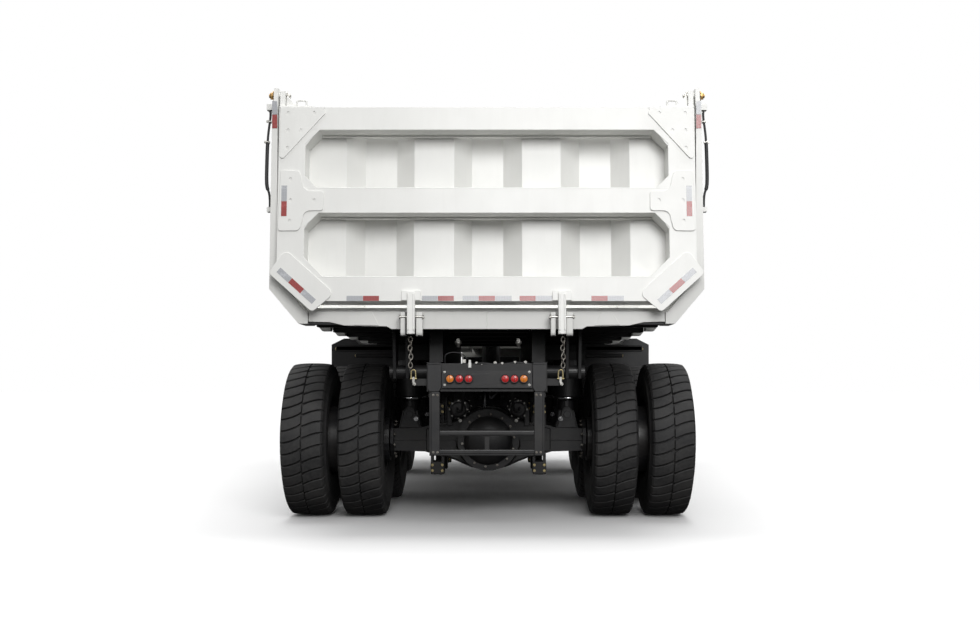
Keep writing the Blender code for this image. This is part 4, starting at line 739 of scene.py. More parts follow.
# %% Hinge hardware
for side_name, side in SIDES:
    pin = hinge + Vector((side * 1.80, 0, 0))
    outward, inward = (side, 0, 0), (-side, 0, 0)
    outer_nut = nut(pin + Vector((side * 0.008, 0, 0)), outward, 0.030, 0.030)
    fitted(f"{side_name}_hinge_nut", [outer_nut], brass, "bed")
    inner = [nut((side * 1.694, pin.y, pin.z), inward, 0.027, 0.022),
             bar((side * 1.700, pin.y, pin.z), (side * 1.690, pin.y, pin.z), 0.040, 28, 0.002)]
    fitted(f"{side_name}_hinge_inner_nut", inner, zinc, "tailgate")
    web = plate([(side * 1.692, gate_top + 0.000), (side * 1.692, gate_top + 0.108), (side * 1.672, gate_top + 0.100),
                 (side * 1.635, gate_top + 0.045), (side * 1.600, gate_top + 0.030), (side * 1.545, gate_top + 0.026),
                 (side * 1.545, gate_top + 0.000)], (gate_y + 0.035, gate_y + 0.051), 0.003)
    top_plate = block((side * 1.745, side * 1.462), (gate_y - 0.004, gate_y + 0.115), (gate_top - 0.006, gate_top + 0.009),
                      0.003)
    loop_low = gate_top + 0.006
    rail = [(side * 1.600, loop_low), (side * 1.600, loop_low + 0.046), (side * 1.590, loop_low + 0.056),
            (side * 1.530, loop_low + 0.056), (side * 1.520, loop_low + 0.046), (side * 1.520, loop_low)]
    loop = [bar((a[0], gate_y + 0.02, a[1]), (b[0], gate_y + 0.02, b[1]), 0.0085, 12)
            for a, b in zip(rail, rail[1:])]
    fitted(f"{side_name}_hinge_web", hang([face_out(web), top_plate, *loop]), white_paint, "tailgate")
    post_film = plate([(side * 1.756, 3.543), (side * 1.798, 3.543), (side * 1.798, 3.655), (side * 1.756, 3.655)],
                      (hinge.y - 0.1235, hinge.y - 0.1195), 0)
    red_film = plate([(side * 1.756, 3.428), (side * 1.798, 3.428), (side * 1.798, 3.541), (side * 1.756, 3.541)],
                     (hinge.y - 0.1235, hinge.y - 0.1195), 0)
    fitted(f"{side_name}_post_grey_tape", [face_out(post_film)], grey_tape, "bed")
    fitted(f"{side_name}_post_red_tape", [face_out(red_film)], red_tape, "bed")
    eye = spun([(0.020, -0.006), (0.034, -0.006), (0.034, 0.006), (0.020, 0.006)],
               (side * 1.826, hinge.y - 0.02, 3.615), "Y", 28)
    fitted(f"{side_name}_rope_eye", [eye], white_paint, "bed")

# %% [markdown]
# ## Lock ropes
# A short rope hangs down each side of the body from an eye at the top to a clamp lower down. It is stiff, sheathed
# for half its length, and held to its loop by two clips.

# %% Ropes
ROPE_ROUTE = ((0.035, 3.5994), (0.035, 3.54), (0.055, 3.38), (0.064, 3.18), (0.066, 2.98), (0.046, 2.90),
              (0.040, 2.84), (0.040, 2.7806))
ROPE_SIDE_X = 1.80
ROPE_RADIUS = 0.010
rope_y = hinge.y - 0.02


def smooth_points(route, parts=4):
    """Points on a smooth line through the route's own points."""
    ends = [route[0] * 2 - route[1], *route, route[-1] * 2 - route[-2]]
    fine = []
    for before, start, end, after in zip(ends, ends[1:], ends[2:], ends[3:]):
        for part in range(parts):
            t = part / parts
            fine.append(0.5 * (2 * start + (end - before) * t + (2 * before - 5 * start + 4 * end - after) * t ** 2
                               + (3 * start - 3 * end + after - before) * t ** 3))
    return fine + [route[-1]]


def line_tube(name, points, radius):
    """A round tube along points, as a curve."""
    curve = bpy.data.curves.new(name, "CURVE")
    curve.dimensions = "3D"
    curve.bevel_depth = radius
    curve.bevel_resolution = 4
    curve.use_fill_caps = True
    spline = curve.splines.new("POLY")
    spline.points.add(len(points) - 1)
    for knot, place in zip(spline.points, points):
        knot.co = (*place, 1)
    tube = bpy.data.objects.new(name, curve)
    bpy.context.collection.objects.link(tube)
    return tube


def meshed(tube):
    """A curve tube turned into a mesh."""
    pick(tube)
    bpy.ops.object.convert(target="MESH")
    return smooth(face_out(bpy.context.object))


for side_name, side in SIDES:
    route = [Vector((side * (ROPE_SIDE_X + out), rope_y, z)) for out, z in ROPE_ROUTE]
    points = smooth_points(route)
    length = sum((end - start).length for start, end in zip(points, points[1:]))
    rope = line_tube(f"{side_name}_lock_rope", points, ROPE_RADIUS)
    rope.data.materials.append(plastic)
    sheath = meshed(line_tube(f"{side_name}_sheath", points[9:19], ROPE_RADIUS * 1.55))
    clips = [bar(points[at] - Vector((0.018 * side, 0, 0.004)), points[at] + Vector((0.024 * side, 0, 0.004)), 0.013, 12)
             for at in (5, 9)]
    clips += [nut(points[at] + Vector((0.016 * side, -0.010, 0)), (0, -1, 0), 0.010, 0.010) for at in (5, 9)]
    sleeve = fitted(f"{side_name}_rope_sheath", [sheath], plastic, "bed")
    grips = fitted(f"{side_name}_rope_clips", clips, zinc, "bed")
    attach(rope, "bed")
    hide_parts(f"{side_name}_rope")
    print(rope.name, "length", round(length, 3))

# %% [markdown]
# ## Tail beam and lock arms
# Under the gate the body ends in a smooth white beam. Two ribbed arms on the gate reach down past it between pairs of
# lugs, and a pin through each pair holds the gate shut.

# %% Tail beam
BEAM_FACE = (-4.346, -4.3305)
beam_low, beam_high = 1.745, 1.893
half_beam = [(0.0, beam_low), (0.80, beam_low), (0.84, beam_low + 0.022), (1.20, beam_low + 0.030),
             (1.32, beam_low + 0.058), (1.497, beam_low + 0.062), (1.497, beam_high), (0.0, beam_high)]
beam = [face_out(plate([(side * x, z) for x, z in half_beam], BEAM_FACE, 0.003)) for _, side in SIDES]
seams = [face_out(plate([(side * 0.905, beam_low + 0.030), (side * 1.12, beam_low + 0.034), (side * 1.05, beam_high),
                         (side * 0.965, beam_high)], (BEAM_FACE[0] - 0.006, BEAM_FACE[0] + 0.002), 0.002))
         for _, side in SIDES]
chamfers = [face_out(plate([(side * 1.50, 1.876), (side * 1.722, 2.142), (side * 1.748, 2.156), (side * 1.748, 2.118),
                            (side * 1.535, 1.863)], (-4.262, -4.2505), 0.002)) for _, side in SIDES]
fitted("tail_beam_cover", beam + seams + chamfers, white_paint, "bed")

# %% Lock arms and their lugs
arms, lugs, pins = [], [], []
arm_top, arm_low = gate_bottom + 0.078, gate_bottom - 0.275
arm_face = gate_y - 0.025
for _, side in SIDES:
    x = side * 0.624
    foot = [*arc((x, arm_low + 0.030), 0.033, 180, 360, 8)]
    arms.append(face_out(plate([*foot, (x + 0.033, arm_top - 0.012), *arc((x + 0.021, arm_top - 0.012), 0.012, 0, 90, 3),
                                *arc((x - 0.021, arm_top - 0.012), 0.012, 90, 180, 3)],
                               (arm_face - 0.003, arm_face + 0.020), 0.004)))
    for way in (-1, 1):
        ridge = x + way * 0.022
        arms.append(block((ridge - 0.008, ridge + 0.008), (arm_face - 0.013, arm_face),
                          (arm_low + 0.030, arm_top - 0.020), 0.004))
    arms.append(face_out(plate([(x - 0.080, gate_bottom + 0.004), (x + 0.080, gate_bottom + 0.004),
                                *arc((x + 0.066, gate_bottom + 0.076), 0.014, 0, 90, 3),
                                *arc((x - 0.066, gate_bottom + 0.076), 0.014, 90, 180, 3)],
                               (gate_y - 0.016, gate_y - 0.002), 0.003)))
    for near, far, top in ((-0.089, -0.053, 1.880), (0.040, 0.090, 1.880)):
        low = 1.680
        lug = [*arc((0, low + 0.03), 0.03, 180, 360, 6), (0.03, top), (-0.03, top)]
        middle_y = -4.43
        lugs.append(face_out(plate([(middle_y + u, v) for u, v in lug], (x + near - 0.002, x + far + 0.002), 0.004, "X")))
    pins.append(bar((x - 0.098, -4.452, 1.840), (x + 0.098, -4.452, 1.840), 0.012, 16))
    pins += [nut((x + way * 0.092, -4.452, 1.840), (way, 0, 0), 0.016, 0.012) for way in (-1, 1)]
fitted("tailgate_lock_arms", hang(arms), white_paint, "tailgate")
fitted("bed_lock_lugs", lugs, white_paint, "bed")
fitted("bed_lock_pins", pins, zinc, "bed")

# %% [markdown]
# ## Chains
# A short safety chain hangs from each lug to a shackle on the frame. One oval link is a torus, stretched and turned a
# quarter each time as it repeats.

# %% Chains and shackles
LINK_PITCH = 0.036
CHAIN_X, CHAIN_Y = 0.637, -4.395
for side_name, side in SIDES:
    links = []
    for index in range(7):
        bpy.ops.mesh.primitive_torus_add(major_segments=20, minor_segments=8, major_radius=0.0165, minor_radius=0.0050,
                                         location=(0, 0, 0), rotation=(math.pi / 2, 0, (index % 2) * math.pi / 2 + 0.3))
        link = settle(bpy.context.object)
        link.data.transform(Matrix.Translation((side * CHAIN_X + 0.004 * math.sin(index * 2.1), CHAIN_Y,
                                                1.655 - index * LINK_PITCH)) @ Matrix.Diagonal((1, 1, 1.45, 1)))
        links.append(smooth(link, 60))
    fitted(f"{side_name}_safety_chain", links, chain_steel, "bed")
    middle = (side * 0.632, -4.142, 1.375)
    bow = meshed(line_tube("bow", [Vector((middle[0] + u, middle[1], middle[2] + v)) for u, v in
                                   [(-0.019, -0.045), *arc((0, 0.012), 0.019, 180, 0, 8), (0.019, -0.045)]], 0.006))
    bolt = bar((middle[0] - 0.030, middle[1], middle[2] - 0.045), (middle[0] + 0.030, middle[1], middle[2] - 0.045), 0.0075)
    tab = block((middle[0] - 0.012, middle[0] + 0.012), (-4.150, -4.128), (1.292, 1.345), 0.004)
    fitted(f"{side_name}_shackle", [bow, bolt], yellow_zinc, "chassis")
    fitted(f"{side_name}_shackle_tab", [tab, nut((middle[0] + 0.008, -4.1495, 1.285), (0, -1, 0), 0.011, 0.010)], zinc,
           "chassis")

# %% [markdown]
# ## Lamps
# Six round lamps sit in a bar between the frame's ends: amber outside, two reds next to it on each side. Each is a
# domed lens in a black rubber ring, parted by one bar across the middle.

# %% Rear lamps
lamp_z = 1.329
bar_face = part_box("rear_lamp_bar")[0][1]
LAMPS = ((-0.315, amber_lens), (-0.235, red_lens), (-0.156, red_lens), (0.156, red_lens), (0.235, red_lens),
         (0.315, amber_lens))
lens_sets = {amber_lens: [], red_lens: []}
rings, parting = [], []
for x, finish in LAMPS:
    dome = spun([(0.0, 0.010), (0.012, 0.0095), (0.022, 0.0075), (0.030, 0.003), (0.032, -0.003), (0.0, -0.003)],
                (x, bar_face, lamp_z), "Y", 36, False, -1)
    lens_sets[finish].append(dome)
    rings.append(spun([(0.031, 0.004), (0.035, 0.005), (0.0385, 0.002), (0.0385, -0.018), (0.031, -0.018)],
                      (x, bar_face, lamp_z), "Y", 36, True, -1))
    parting.append(block((x - 0.0018, x + 0.0018), (bar_face - 0.0105, bar_face - 0.001),
                         (lamp_z - 0.029, lamp_z + 0.029), 0.0008))
for finish, domes in lens_sets.items():
    fitted(f"rear_{finish.name}es", domes, finish, "chassis")
fitted("rear_lamp_rings", rings + parting, plastic, "chassis")
bolts = [nut((x, bar_face + 0.022, z), (0, -1, 0), 0.0085, 0.010) for x in (-0.362, 0.362) for z in (1.386, 1.276)]
fitted("lamp_bar_bolts", bolts, zinc, "chassis")

# %% [markdown]
# ## Frame end
# The frame rails stop in thick end plates, with the guard's posts bolted under them. The guard's tubes have ground
# upper edges that shine. Above the lamp bar runs the air pipework: a drain valve, tees, clips and black hoses.

# %% Frame end plates and guard
end_y = -4.184
plates = [face_out(plate([(side * (0.508 - 0.0), 1.468), (side * 0.390, 1.468), (side * 0.390, 1.255),
                          (side * 0.412, 1.218), (side * 0.490, 1.218), (side * 0.508, 1.245)],
                         (end_y - 0.012, end_y + 0.006), 0.003)) for _, side in SIDES]
plates += [block((side * 0.398, side * 0.502), (end_y - 0.018, end_y - 0.008), (1.452, 1.464), 0.002)
           for _, side in SIDES]
fitted("frame_end_plates", plates, grey_paint, "chassis")
guard = []
for z in (0.862, 0.702):
    guard.append(block((-0.418, 0.418), (-4.178, -4.132), (z - 0.018, z + 0.020), 0.008))
for _, side in SIDES:
    guard.append(block((side * 0.404, side * 0.478), (-4.190, -4.176), (0.672, 1.215), 0.005))
fitted("rear_guard_trim", guard, grey_paint, "chassis")
bolts = [nut((side * (0.441 + dx), -4.190, z), (0, -1, 0), 0.008, 0.008)
         for _, side in SIDES for dx in (-0.018, 0.018) for z in (1.19, 0.70)]
fitted("guard_bolts", bolts, chain_steel, "chassis")


def hose(places, radius, parts=6):
    """A bent hose or pipe through these places."""
    return meshed(line_tube("hose", smooth_points([Vector(place) for place in places], parts), radius))


# %% Air pipework above the lamp bar
pipe_y = -4.150
pipes = [
    hose([(-0.36, pipe_y, 1.468), (-0.355, pipe_y - 0.02, 1.53), (-0.30, pipe_y - 0.01, 1.555), (-0.22, pipe_y, 1.545),
          (-0.17, pipe_y, 1.50)], 0.0045),
    hose([(-0.14, pipe_y, 1.44), (-0.05, pipe_y - 0.02, 1.462), (0.10, pipe_y, 1.452), (0.25, pipe_y - 0.01, 1.468),
          (0.37, pipe_y, 1.458)], 0.008),
    hose([(-0.36, pipe_y, 1.452), (-0.28, pipe_y - 0.01, 1.446), (-0.18, pipe_y, 1.452)], 0.008),
    hose([(0.02, -4.00, 1.25), (0.03, -4.03, 1.16), (0.09, -4.05, 1.21), (0.16, -4.0, 1.24)], 0.008),
    hose([(-0.02, -4.00, 1.22), (-0.02, -4.03, 1.14), (-0.021, -4.02, 1.09)], 0.009),
    hose([(-0.22, -3.6, 1.24), (-0.24, -3.4, 1.05), (-0.28, -3.1, 1.02), (-0.30, -3.0, 1.05)], 0.013),
    hose([(0.22, -3.6, 1.24), (0.24, -3.4, 1.05), (0.28, -3.1, 1.02), (0.30, -3.0, 1.05)], 0.013),
]
fitted("air_hoses", pipes, plastic, "chassis")
fittings = [nut((x, pipe_y - 0.006, z), (0, -1, 0), 0.010, 0.012)
            for x, z in ((-0.09, 1.462), (-0.045, 1.455), (0.07, 1.465), (0.13, 1.458), (0.24, 1.47), (0.33, 1.47))]
fittings += [block((-0.215, -0.180), (pipe_y - 0.02, pipe_y + 0.01), (1.462, 1.496), 0.004)]
fitted("air_fittings", fittings, zinc, "chassis")
valve = [spun([(0, 0.036), (0.010, 0.036), (0.011, 0.014), (0.015, 0.008), (0.015, -0.030), (0, -0.030)],
              (-0.148, pipe_y - 0.014, 1.455), "Z", 20, False)]
fitted("drain_valve", valve, white_paint, "chassis")
nozzles = []
for x in (-0.252, 0.272):
    nozzles += [spun([(0, 0.0), (0.030, 0.0), (0.030, -0.016), (0.016, -0.034), (0.011, -0.05), (0, -0.05)],
                     (x, -4.02, 1.655), "Z", 20, False), nut((x, -4.05, 1.664), (0, -1, 0), 0.012, 0.012)]
fitted("spring_bumpers", nozzles, zinc, "chassis")

# %% [markdown]
# ## Rear axles
# The banjo axle bulges round its gears: a dished cover behind, a bowl below and a dome above. A welded seam runs along
# the middle of the beam. Brake chambers stand on the casing, and the struts end in pinned clevises on the beam.

# %% Axle casings
for axle in AXLES:
    y = JOINTS[f"{axle}_left_spin"].y
    z = JOINTS[f"{axle}_left_spin"].z
    cover = spun([(0.0, 0.105), (0.10, 0.098), (0.18, 0.070), (0.225, 0.030), (0.235, 0.0), (0.262, -0.004),
                  (0.262, -0.020), (0.0, -0.020)], (0, y - 0.240, z - 0.005), "Y", 48, False, -1)
    bowl = spun([(0.0, -0.302), (0.10, -0.296), (0.19, -0.270), (0.26, -0.220), (0.31, -0.150), (0.34, -0.06),
                 (0.30, 0.12), (0.23, 0.24), (0.12, 0.300), (0.0, 0.314)], (0, y, z - 0.002), "Z", 40, False)
    flare = [face_out(plate([(side * 0.20, z + 0.27), (side * 0.30, z + 0.20), (side * 0.42, z + 0.155),
                             (side * 0.62, z + 0.118), (side * 0.62, z - 0.122), (side * 0.45, z - 0.160),
                             (side * 0.30, z - 0.215), (side * 0.18, z - 0.27)], (y - 0.118, y + 0.118), 0.02))
             for _, side in SIDES]
    seam = [block((side * 0.26, side * 0.925), (y - 0.119, y + 0.119), (z - 0.012, z - 0.004), 0.003)
            for _, side in SIDES]
    fitted(f"{axle}_axle_casing", [cover, bowl, *flare, *seam], black_paint, "chassis")
    studs = ringed(nut((0, y - 0.256, z + 0.248), (0, -1, 0), 0.009, 0.010), 14, (0, y, z - 0.005), "Y", 0.1)
    plugs = [nut((x, y - 0.262, z + 0.02), (0, -1, 0), 0.013, 0.010) for x in (-0.20, 0.20)]
    flanges = []
    for _, side in SIDES:
        flanges += ringed(nut((side * 0.918, y, z + 0.172), (-side, 0, 0), 0.012, 0.014), 10, (0, y, z), "X")
    fitted(f"{axle}_axle_bolts", studs + plugs + flanges, chain_steel, "chassis")
    chambers, clamps = [], []
    for _, side in SIDES:
        place = (side * 0.29, y - 0.16, z + 0.292)
        chambers.append(spun([(0, 0.055), (0.060, 0.052), (0.078, 0.036), (0.080, 0.006), (0.088, 0.004), (0.088, -0.004),
                              (0.080, -0.006), (0.078, -0.030), (0.062, -0.050), (0.0, -0.055)], place, "Y", 32, False, -1))
        chambers.append(block((side * 0.40, side * 0.352), (y - 0.14, y + 0.05), (z + 0.13, z + 0.30), 0.008))
        clamps += ringed(nut((place[0], place[1] - 0.012, place[2] + 0.086), (0, -1, 0), 0.007, 0.010), 8, place, "Y")
        clamps.append(nut((side * 0.272, y - 0.20, z + 0.185), (0, -1, 0), 0.012, 0.012))
    fitted(f"{axle}_brake_chambers", chambers, grey_paint, "chassis")
    fitted(f"{axle}_brake_clamps", clamps, zinc, "chassis")

# %% Struts, clevises and rod brackets
for axle in AXLES:
    y = JOINTS[f"{axle}_left_spin"].y
    z = JOINTS[f"{axle}_left_spin"].z
    clevis, pins, chromes, eyes, brass_bolts = [], [], [], [], []
    for _, side in SIDES:
        x = side * 0.77
        web = [(x - 0.098, z + 0.112), (x + 0.098, z + 0.112), (x + 0.050, z + 0.285), *arc((x, z + 0.272), 0.05, 30, 150, 6),
               (x - 0.050, z + 0.285)]
        clevis.append(face_out(plate(web, (y - 0.106, y - 0.078), 0.004)))
        clevis.append(face_out(plate(web, (y + 0.078, y + 0.106), 0.004)))
        pins.append(bar((x, y - 0.122, z + 0.242), (x, y + 0.122, z + 0.242), 0.036, 28, 0.004))
        pins.append(bar((x, y - 0.112, z + 0.242), (x, y - 0.104, z + 0.242), 0.056, 28, 0.002))
        chromes.append(nut((x - side * 0.062, y - 0.106, z + 0.200), (0, -1, 0), 0.017, 0.014))
        chromes.append(spun([(0.131, 0.008), (0.1335, 0.0), (0.131, -0.008), (0.126, -0.008), (0.126, 0.008)],
                            (x, y, z + 0.401), "Z", 40))
        boot = spun([(0.131, 0.255), (0.131, 0.0), (0.126, 0.0), (0.126, 0.255)], (x, y, z + 0.42), "Z", 40)
        clevis.append(boot)
        for low in (z - 0.282, z + 0.295):
            eyes.append(bar((side * 0.43, y, low), (side * 0.57, y, low), 0.040, 24, 0.004))
            eyes.append(block((side * 0.437, side * 0.563), (y - 0.082, y - 0.072), (low - 0.062, low + 0.058), 0.006))
            brass_bolts += [nut((side * at, y - 0.082, low + dz), (0, -1, 0), 0.010, 0.009)
                            for at in (0.451, 0.549) for dz in (-0.028, 0.028)]
    fitted(f"{axle}_strut_clevises", clevis, black_paint, "chassis")
    fitted(f"{axle}_strut_pins", pins, grey_paint, "chassis")
    fitted(f"{axle}_strut_plating", chromes, chrome, "chassis")
    fitted(f"{axle}_rod_eyes", eyes, black_paint, "chassis")
    fitted(f"{axle}_rod_bolts", brass_bolts, yellow_zinc, "chassis")

# %% [markdown]
# ## Front and cab
# The grille is a black frame with folded slats. Each bumper pocket holds two round lamps and an indicator behind clear
# domes. The cab gets rubber seals round its panes, wipers, a door handle and mirror glass.

# %% Grille and hood
(hood_x0, hood_y0, hood_z0), (hood_x1, hood_y1, hood_z1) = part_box("engine_hood")
cab_low, cab_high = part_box("cab_shell")
deck_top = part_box("right_fender")[1][2]
mid_x, face = (-0.28 + 0.72) / 2, hood_y1
low_z, high_z = deck_top + 0.05, hood_z1 - 0.15
grille = [block((mid_x - 0.44, mid_x + 0.44), (face - 0.004, face + 0.022), span, 0.006)
          for span in ((low_z - 0.03, low_z), (high_z, high_z + 0.03))]
grille += [block((x - 0.018, x + 0.018), (face - 0.004, face + 0.022), (low_z - 0.03, high_z + 0.03), 0.006)
           for x in (mid_x - 0.425, mid_x, mid_x + 0.425)]
slat_count = 9
for index in range(slat_count):
    z = low_z + (index + 0.5) * (high_z - low_z) / slat_count
    grille.append(face_out(plate([(face - 0.003, z - 0.012), (face + 0.014, z - 0.020), (face + 0.014, z - 0.012),
                                  (face - 0.003, z + 0.004)], (mid_x - 0.42, mid_x + 0.42), 0.002, "X")))
for index in range(7):
    z = deck_top - 0.10 - index * 0.055
    grille.append(block((-0.34, 0.34), (face - 0.004, face + 0.012), (z - 0.016, z + 0.010), 0.004))
for index in range(8):
    z = deck_top + 0.16 + index * 0.035
    grille.append(block((hood_x1 - 0.004, hood_x1 + 0.010), (hood_y0 + 0.30, hood_y0 + 0.80), (z - 0.008, z + 0.008), 0.003))
fitted("hood_grille", grille, plastic, "chassis")
latches = [block((x - 0.03, x + 0.03), (face - 0.004, face + 0.03), (high_z + 0.045, high_z + 0.070), 0.005)
           for x in (mid_x - 0.3, mid_x + 0.3)]
fitted("hood_latches", latches, zinc, "chassis")

# %% Headlamps
bumper_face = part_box("front_bumper")[1][1]
pocket_y = bumper_face - 0.060
domes, housings, indicators = [], [], []
for _, side in SIDES:
    centre = side * 1.08
    housings.append(block((centre - 0.196, centre + 0.196), (pocket_y - 0.002, pocket_y + 0.008), (1.084, 1.296), 0.003))
    for x in (centre - side * 0.115, centre + side * 0.055):
        housings.append(spun([(0.073, 0.034), (0.082, 0.034), (0.086, 0.004), (0.077, 0.004)], (x, pocket_y, 1.19), "Y", 40,
                             True, 1))
        domes.append(spun([(0.0, 0.042), (0.035, 0.039), (0.060, 0.031), (0.074, 0.020), (0.074, 0.010), (0.0, 0.010)],
                          (x, pocket_y, 1.19), "Y", 40, False, 1))
    indicators.append(block((centre + side * 0.150, centre + side * 0.190), (pocket_y + 0.004, pocket_y + 0.036),
                            (1.10, 1.28), 0.010))
fitted("headlamp_housings", housings, zinc, "chassis")
fitted("headlamp_domes", domes, clear_lens, "chassis")
fitted("front_indicators", indicators, amber_lens, "chassis")

# %% Cab seals, wipers, handle and mirrors
(sx0, sy0, sz0), (sx1, sy1, sz1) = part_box("windscreen")
lean = Vector((0, sy0 - sy1, sz1 - sz0)).normalized()
out = Vector((0, lean.z, -lean.y)) * 0.004
corners = [Vector((x, y, z)) + out for x, y, z in ((sx0, sy1, sz0), (sx1, sy1, sz0), (sx1, sy0, sz1), (sx0, sy0, sz1))]
seals = [bar(a, b, 0.014, 12) for a, b in zip(corners, corners[1:] + corners[:1])]
(px0, py0, pz0), (px1, py1, pz1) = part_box("side_window")
loop = [(py0, pz0), (py1, pz0), (py1, pz1), (py0, pz1)]
seals += [bar((px1 + 0.012, *a), (px1 + 0.012, *b), 0.011, 12) for a, b in zip(loop, loop[1:] + loop[:1])]
fitted("cab_window_seals", seals, plastic, "chassis")
arms = []
for x in (sx0 + 0.25, sx0 + 0.72):
    foot = Vector((x, sy1, sz0)) + out * 7
    tip = foot + lean * 0.42 + Vector((0.16, 0, 0))
    arms += [bar(foot, tip, 0.007, 10), bar(tip - lean * 0.28 - out, tip + lean * 0.20 - out, 0.010, 8),
             bar(foot - out * 6, foot + out, 0.018, 16)]
fitted("windscreen_wipers", arms, plastic, "chassis")
(dx0, dy0, dz0), (dx1, dy1, dz1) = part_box("cab_door")
cab_left = cab_low[0] if cab_low[0] > dx0 else dx0
face_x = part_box("door_window")[0][0] - 0.019
(wx0, wy0, wz0), (wx1, wy1, wz1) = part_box("door_window")
loop = [(wy0, wz0), (wy1, wz0), (wy1, wz1), (wy0, wz1)]
trim = [bar((wx0 - 0.008, *a), (wx0 - 0.008, *b), 0.011, 12) for a, b in zip(loop, loop[1:] + loop[:1])]
handle_y, handle_z = dy0 + 0.09, wz0 - 0.16
trim += [bar((face_x - 0.035, handle_y, handle_z), (face_x - 0.035, handle_y + 0.15, handle_z), 0.011, 14),
         bar((face_x + 0.006, handle_y + 0.012, handle_z), (face_x - 0.036, handle_y + 0.012, handle_z), 0.009, 12),
         bar((face_x + 0.006, handle_y + 0.138, handle_z), (face_x - 0.036, handle_y + 0.138, handle_z), 0.009, 12)]
fitted("cab_door_trim", trim, plastic, "door")
for side_name, side in SIDES:
    rail_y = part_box(f"{side_name}_handrail")[1][1]
    glass_pane = block((side * 1.560, side * 1.770), (rail_y - 0.064, rail_y - 0.057), (deck_top + 1.01, deck_top + 1.40), 0.003)
    fitted(f"{side_name}_mirror_glass", [glass_pane], chrome, "chassis")

# %% [markdown]
# ## Seat
# The seat is two stuffed cushions on a black pedestal. A cushion is a finely divided block, rounded over its edges and
# crowned in the middle.

# %% Cushions
SEAT_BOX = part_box("driver_seat")


def cushion(centre, half, tilt=0.0, crown=0.25):
    """A stuffed cushion: a divided block drawn round at its edges and crowned on top."""
    bpy.ops.mesh.primitive_cube_add(size=2, location=(0, 0, 0))
    pad = bpy.context.object
    bpy.ops.object.mode_set(mode="EDIT")
    bpy.ops.mesh.subdivide(number_cuts=14)
    bpy.ops.object.mode_set(mode="OBJECT")
    for knot in pad.data.vertices:
        x, y, z = knot.co
        ease = 0.22
        u = x * math.sqrt(1 - ease * (y * y + z * z) / 2 + ease * ease * y * y * z * z / 3)
        v = y * math.sqrt(1 - ease * (x * x + z * z) / 2 + ease * ease * x * x * z * z / 3)
        w = z * math.sqrt(1 - ease * 2 * (x * x + y * y) / 2 + ease * ease * x * x * y * y / 3)
        w += crown * (1 - x * x) * (1 - y * y) * (1 if z > 0.9 else 0)
        knot.co = (u * half[0], v * half[1], w * half[2])
    pad.data.transform(Matrix.Translation(centre) @ Matrix.Rotation(tilt, 4, "X"))
    return smooth(face_out(settle(pad)), 60)


(qx0, qy0, qz0), (qx1, qy1, qz1) = SEAT_BOX
seat_x = (qx0 + qx1) / 2
base_pad = cushion((seat_x, qy1 - 0.285, qz0 + 0.42), (0.255, 0.275, 0.070), 0.0, 0.28)
back_pad = cushion((seat_x, qy0 + 0.125, qz0 + 0.80), (0.235, 0.300, 0.052), math.radians(100), 0.30)
pads = fitted("driver_seat_cushions", [base_pad, back_pad], cloth, "chassis", ["driver_seat"])
stand = [block((seat_x - 0.18, seat_x + 0.18), (qy1 - 0.48, qy1 - 0.08), (qz0, qz0 + 0.30), 0.02),
         block((seat_x - 0.22, seat_x + 0.22), (qy1 - 0.52, qy1 - 0.04), (qz0 + 0.30, qz0 + 0.36), 0.01)]
fitted("driver_seat_stand", stand, plastic, "chassis", ["driver_seat"])

# %% [markdown]
# ## Crossbars above the tyres
# Two dark bars carry the mudguard stays over the rear tyres on each side, on pale plates by the frame, and each ends
# in a plated cap.

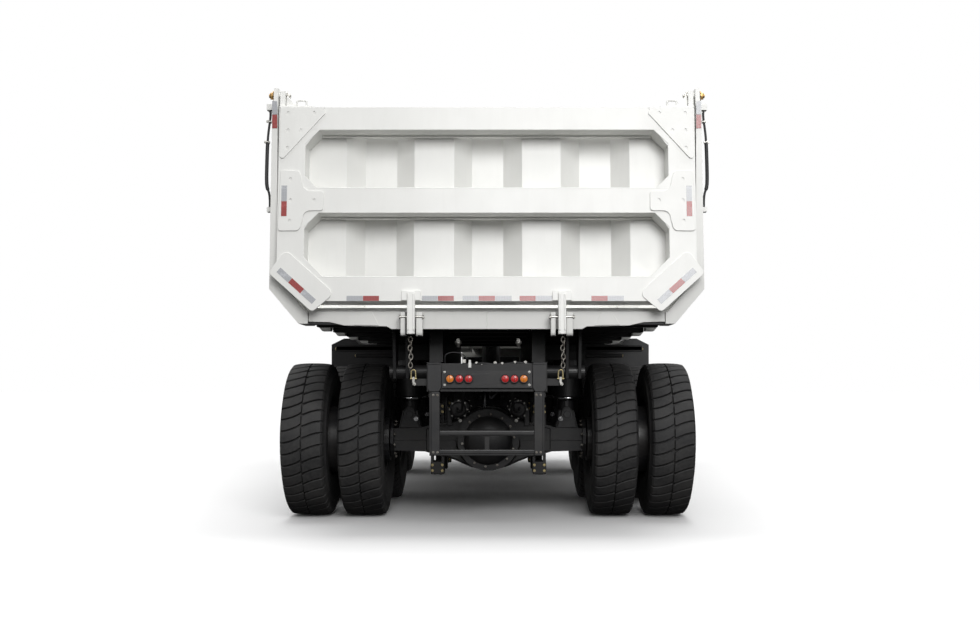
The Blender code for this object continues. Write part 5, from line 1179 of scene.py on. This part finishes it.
# %% Crossbars
bars, caps, plates = [], [], []
for _, side in SIDES:
    bars.append(block((side * 1.02, side * 1.625), (-2.035, -1.965), (1.636, 1.690), 0.010))
    bars.append(block((side * 1.02, side * 1.415), (-2.035, -1.965), (1.566, 1.606), 0.008))
    bars.append(block((side * 0.60, side * 1.07), (-2.020, -1.980), (1.560, 1.600), 0.008))
    caps.append(nut((side * 1.622, -2.0, 1.655), (side, 0, 0), 0.018, 0.010))
    caps.append(nut((side * 1.412, -2.0, 1.586), (side, 0, 0), 0.016, 0.010))
    for x in (0.875, 1.00):
        plates.append(face_out(plate([(side * (x - 0.018), 1.500), (side * (x + 0.018), 1.500),
                                      (side * (x + 0.018), 1.630), (side * (x - 0.018), 1.630)], (-2.052, -2.036), 0.003)))
        plates.append(block((side * (x - 0.012), side * (x + 0.012)), (-2.040, -1.985), (1.552, 1.604), 0.003))
fitted("stay_crossbars", bars, black_paint, "chassis")
fitted("stay_crossbar_caps", caps, yellow_zinc, "chassis")
fitted("stay_plates", plates, grey_paint, "chassis")

# %% [markdown]
# ## Studio
# A wide pale floor runs out to a white surround. A broad lamp overhead and softer ones behind the camera light the
# paint, and leave a soft dark pool under the truck.

# %% Floor and lights
floor_finish, place = new_finish("floor", Roughness=0.9, Emission_Strength=1.0)
reach = place.node("ShaderNodeVectorMath", {"operation": "LENGTH"}, {0: place}, "Value")
feed(floor_finish, None, Base_Color=place.noise(0.4).mix((0.90, 0.90, 0.90), (0.92, 0.92, 0.92)),
     Emission_Color=reach.fade(5.0, 26.0).mix((0, 0, 0), (0.55, 0.55, 0.55)))
bpy.ops.mesh.primitive_plane_add(size=300, location=(0, 0, -0.002))
floor = bpy.context.object
floor.name = "floor"
settle(floor)
floor.data.materials.append(floor_finish)

world = bpy.data.worlds.new("studio")
bpy.context.scene.world = world
world.use_nodes = True
tree = world.node_tree
back = tree.nodes["Background"]
back.inputs["Color"].default_value = (1, 1, 1, 1)
ray = Wire(tree, tree.nodes.new("ShaderNodeLightPath").outputs["Is Camera Ray"])
height = Wire(tree, tree.nodes.new("ShaderNodeTexCoord").outputs["Generated"]).axis("Z")
dome = height.fade(-0.05, 0.15) * 0.58 + 0.03
tree.links.new((ray + (1 - ray) * dome).socket, back.inputs["Strength"])
floor.visible_diffuse = False
floor.visible_glossy = False
bpy.context.scene.view_settings.view_transform = "Standard"


def soft_light(name, place, aim, size, watts):
    """A square soft box that looks at a point."""
    bpy.ops.object.light_add(type="AREA", location=place)
    lamp = bpy.context.object
    lamp.name = name
    lamp.data.size = size
    lamp.data.energy = watts
    lamp.rotation_euler = (Vector(aim) - Vector(place)).to_track_quat("-Z", "Y").to_euler()
    return lamp


soft_light("overhead", (0.0, -1.0, 15.0), (0, 0, 0), 11, 1850)
soft_light("behind", (3.0, -19.0, 9.0), (0, -4.0, 2.0), 9, 1800)
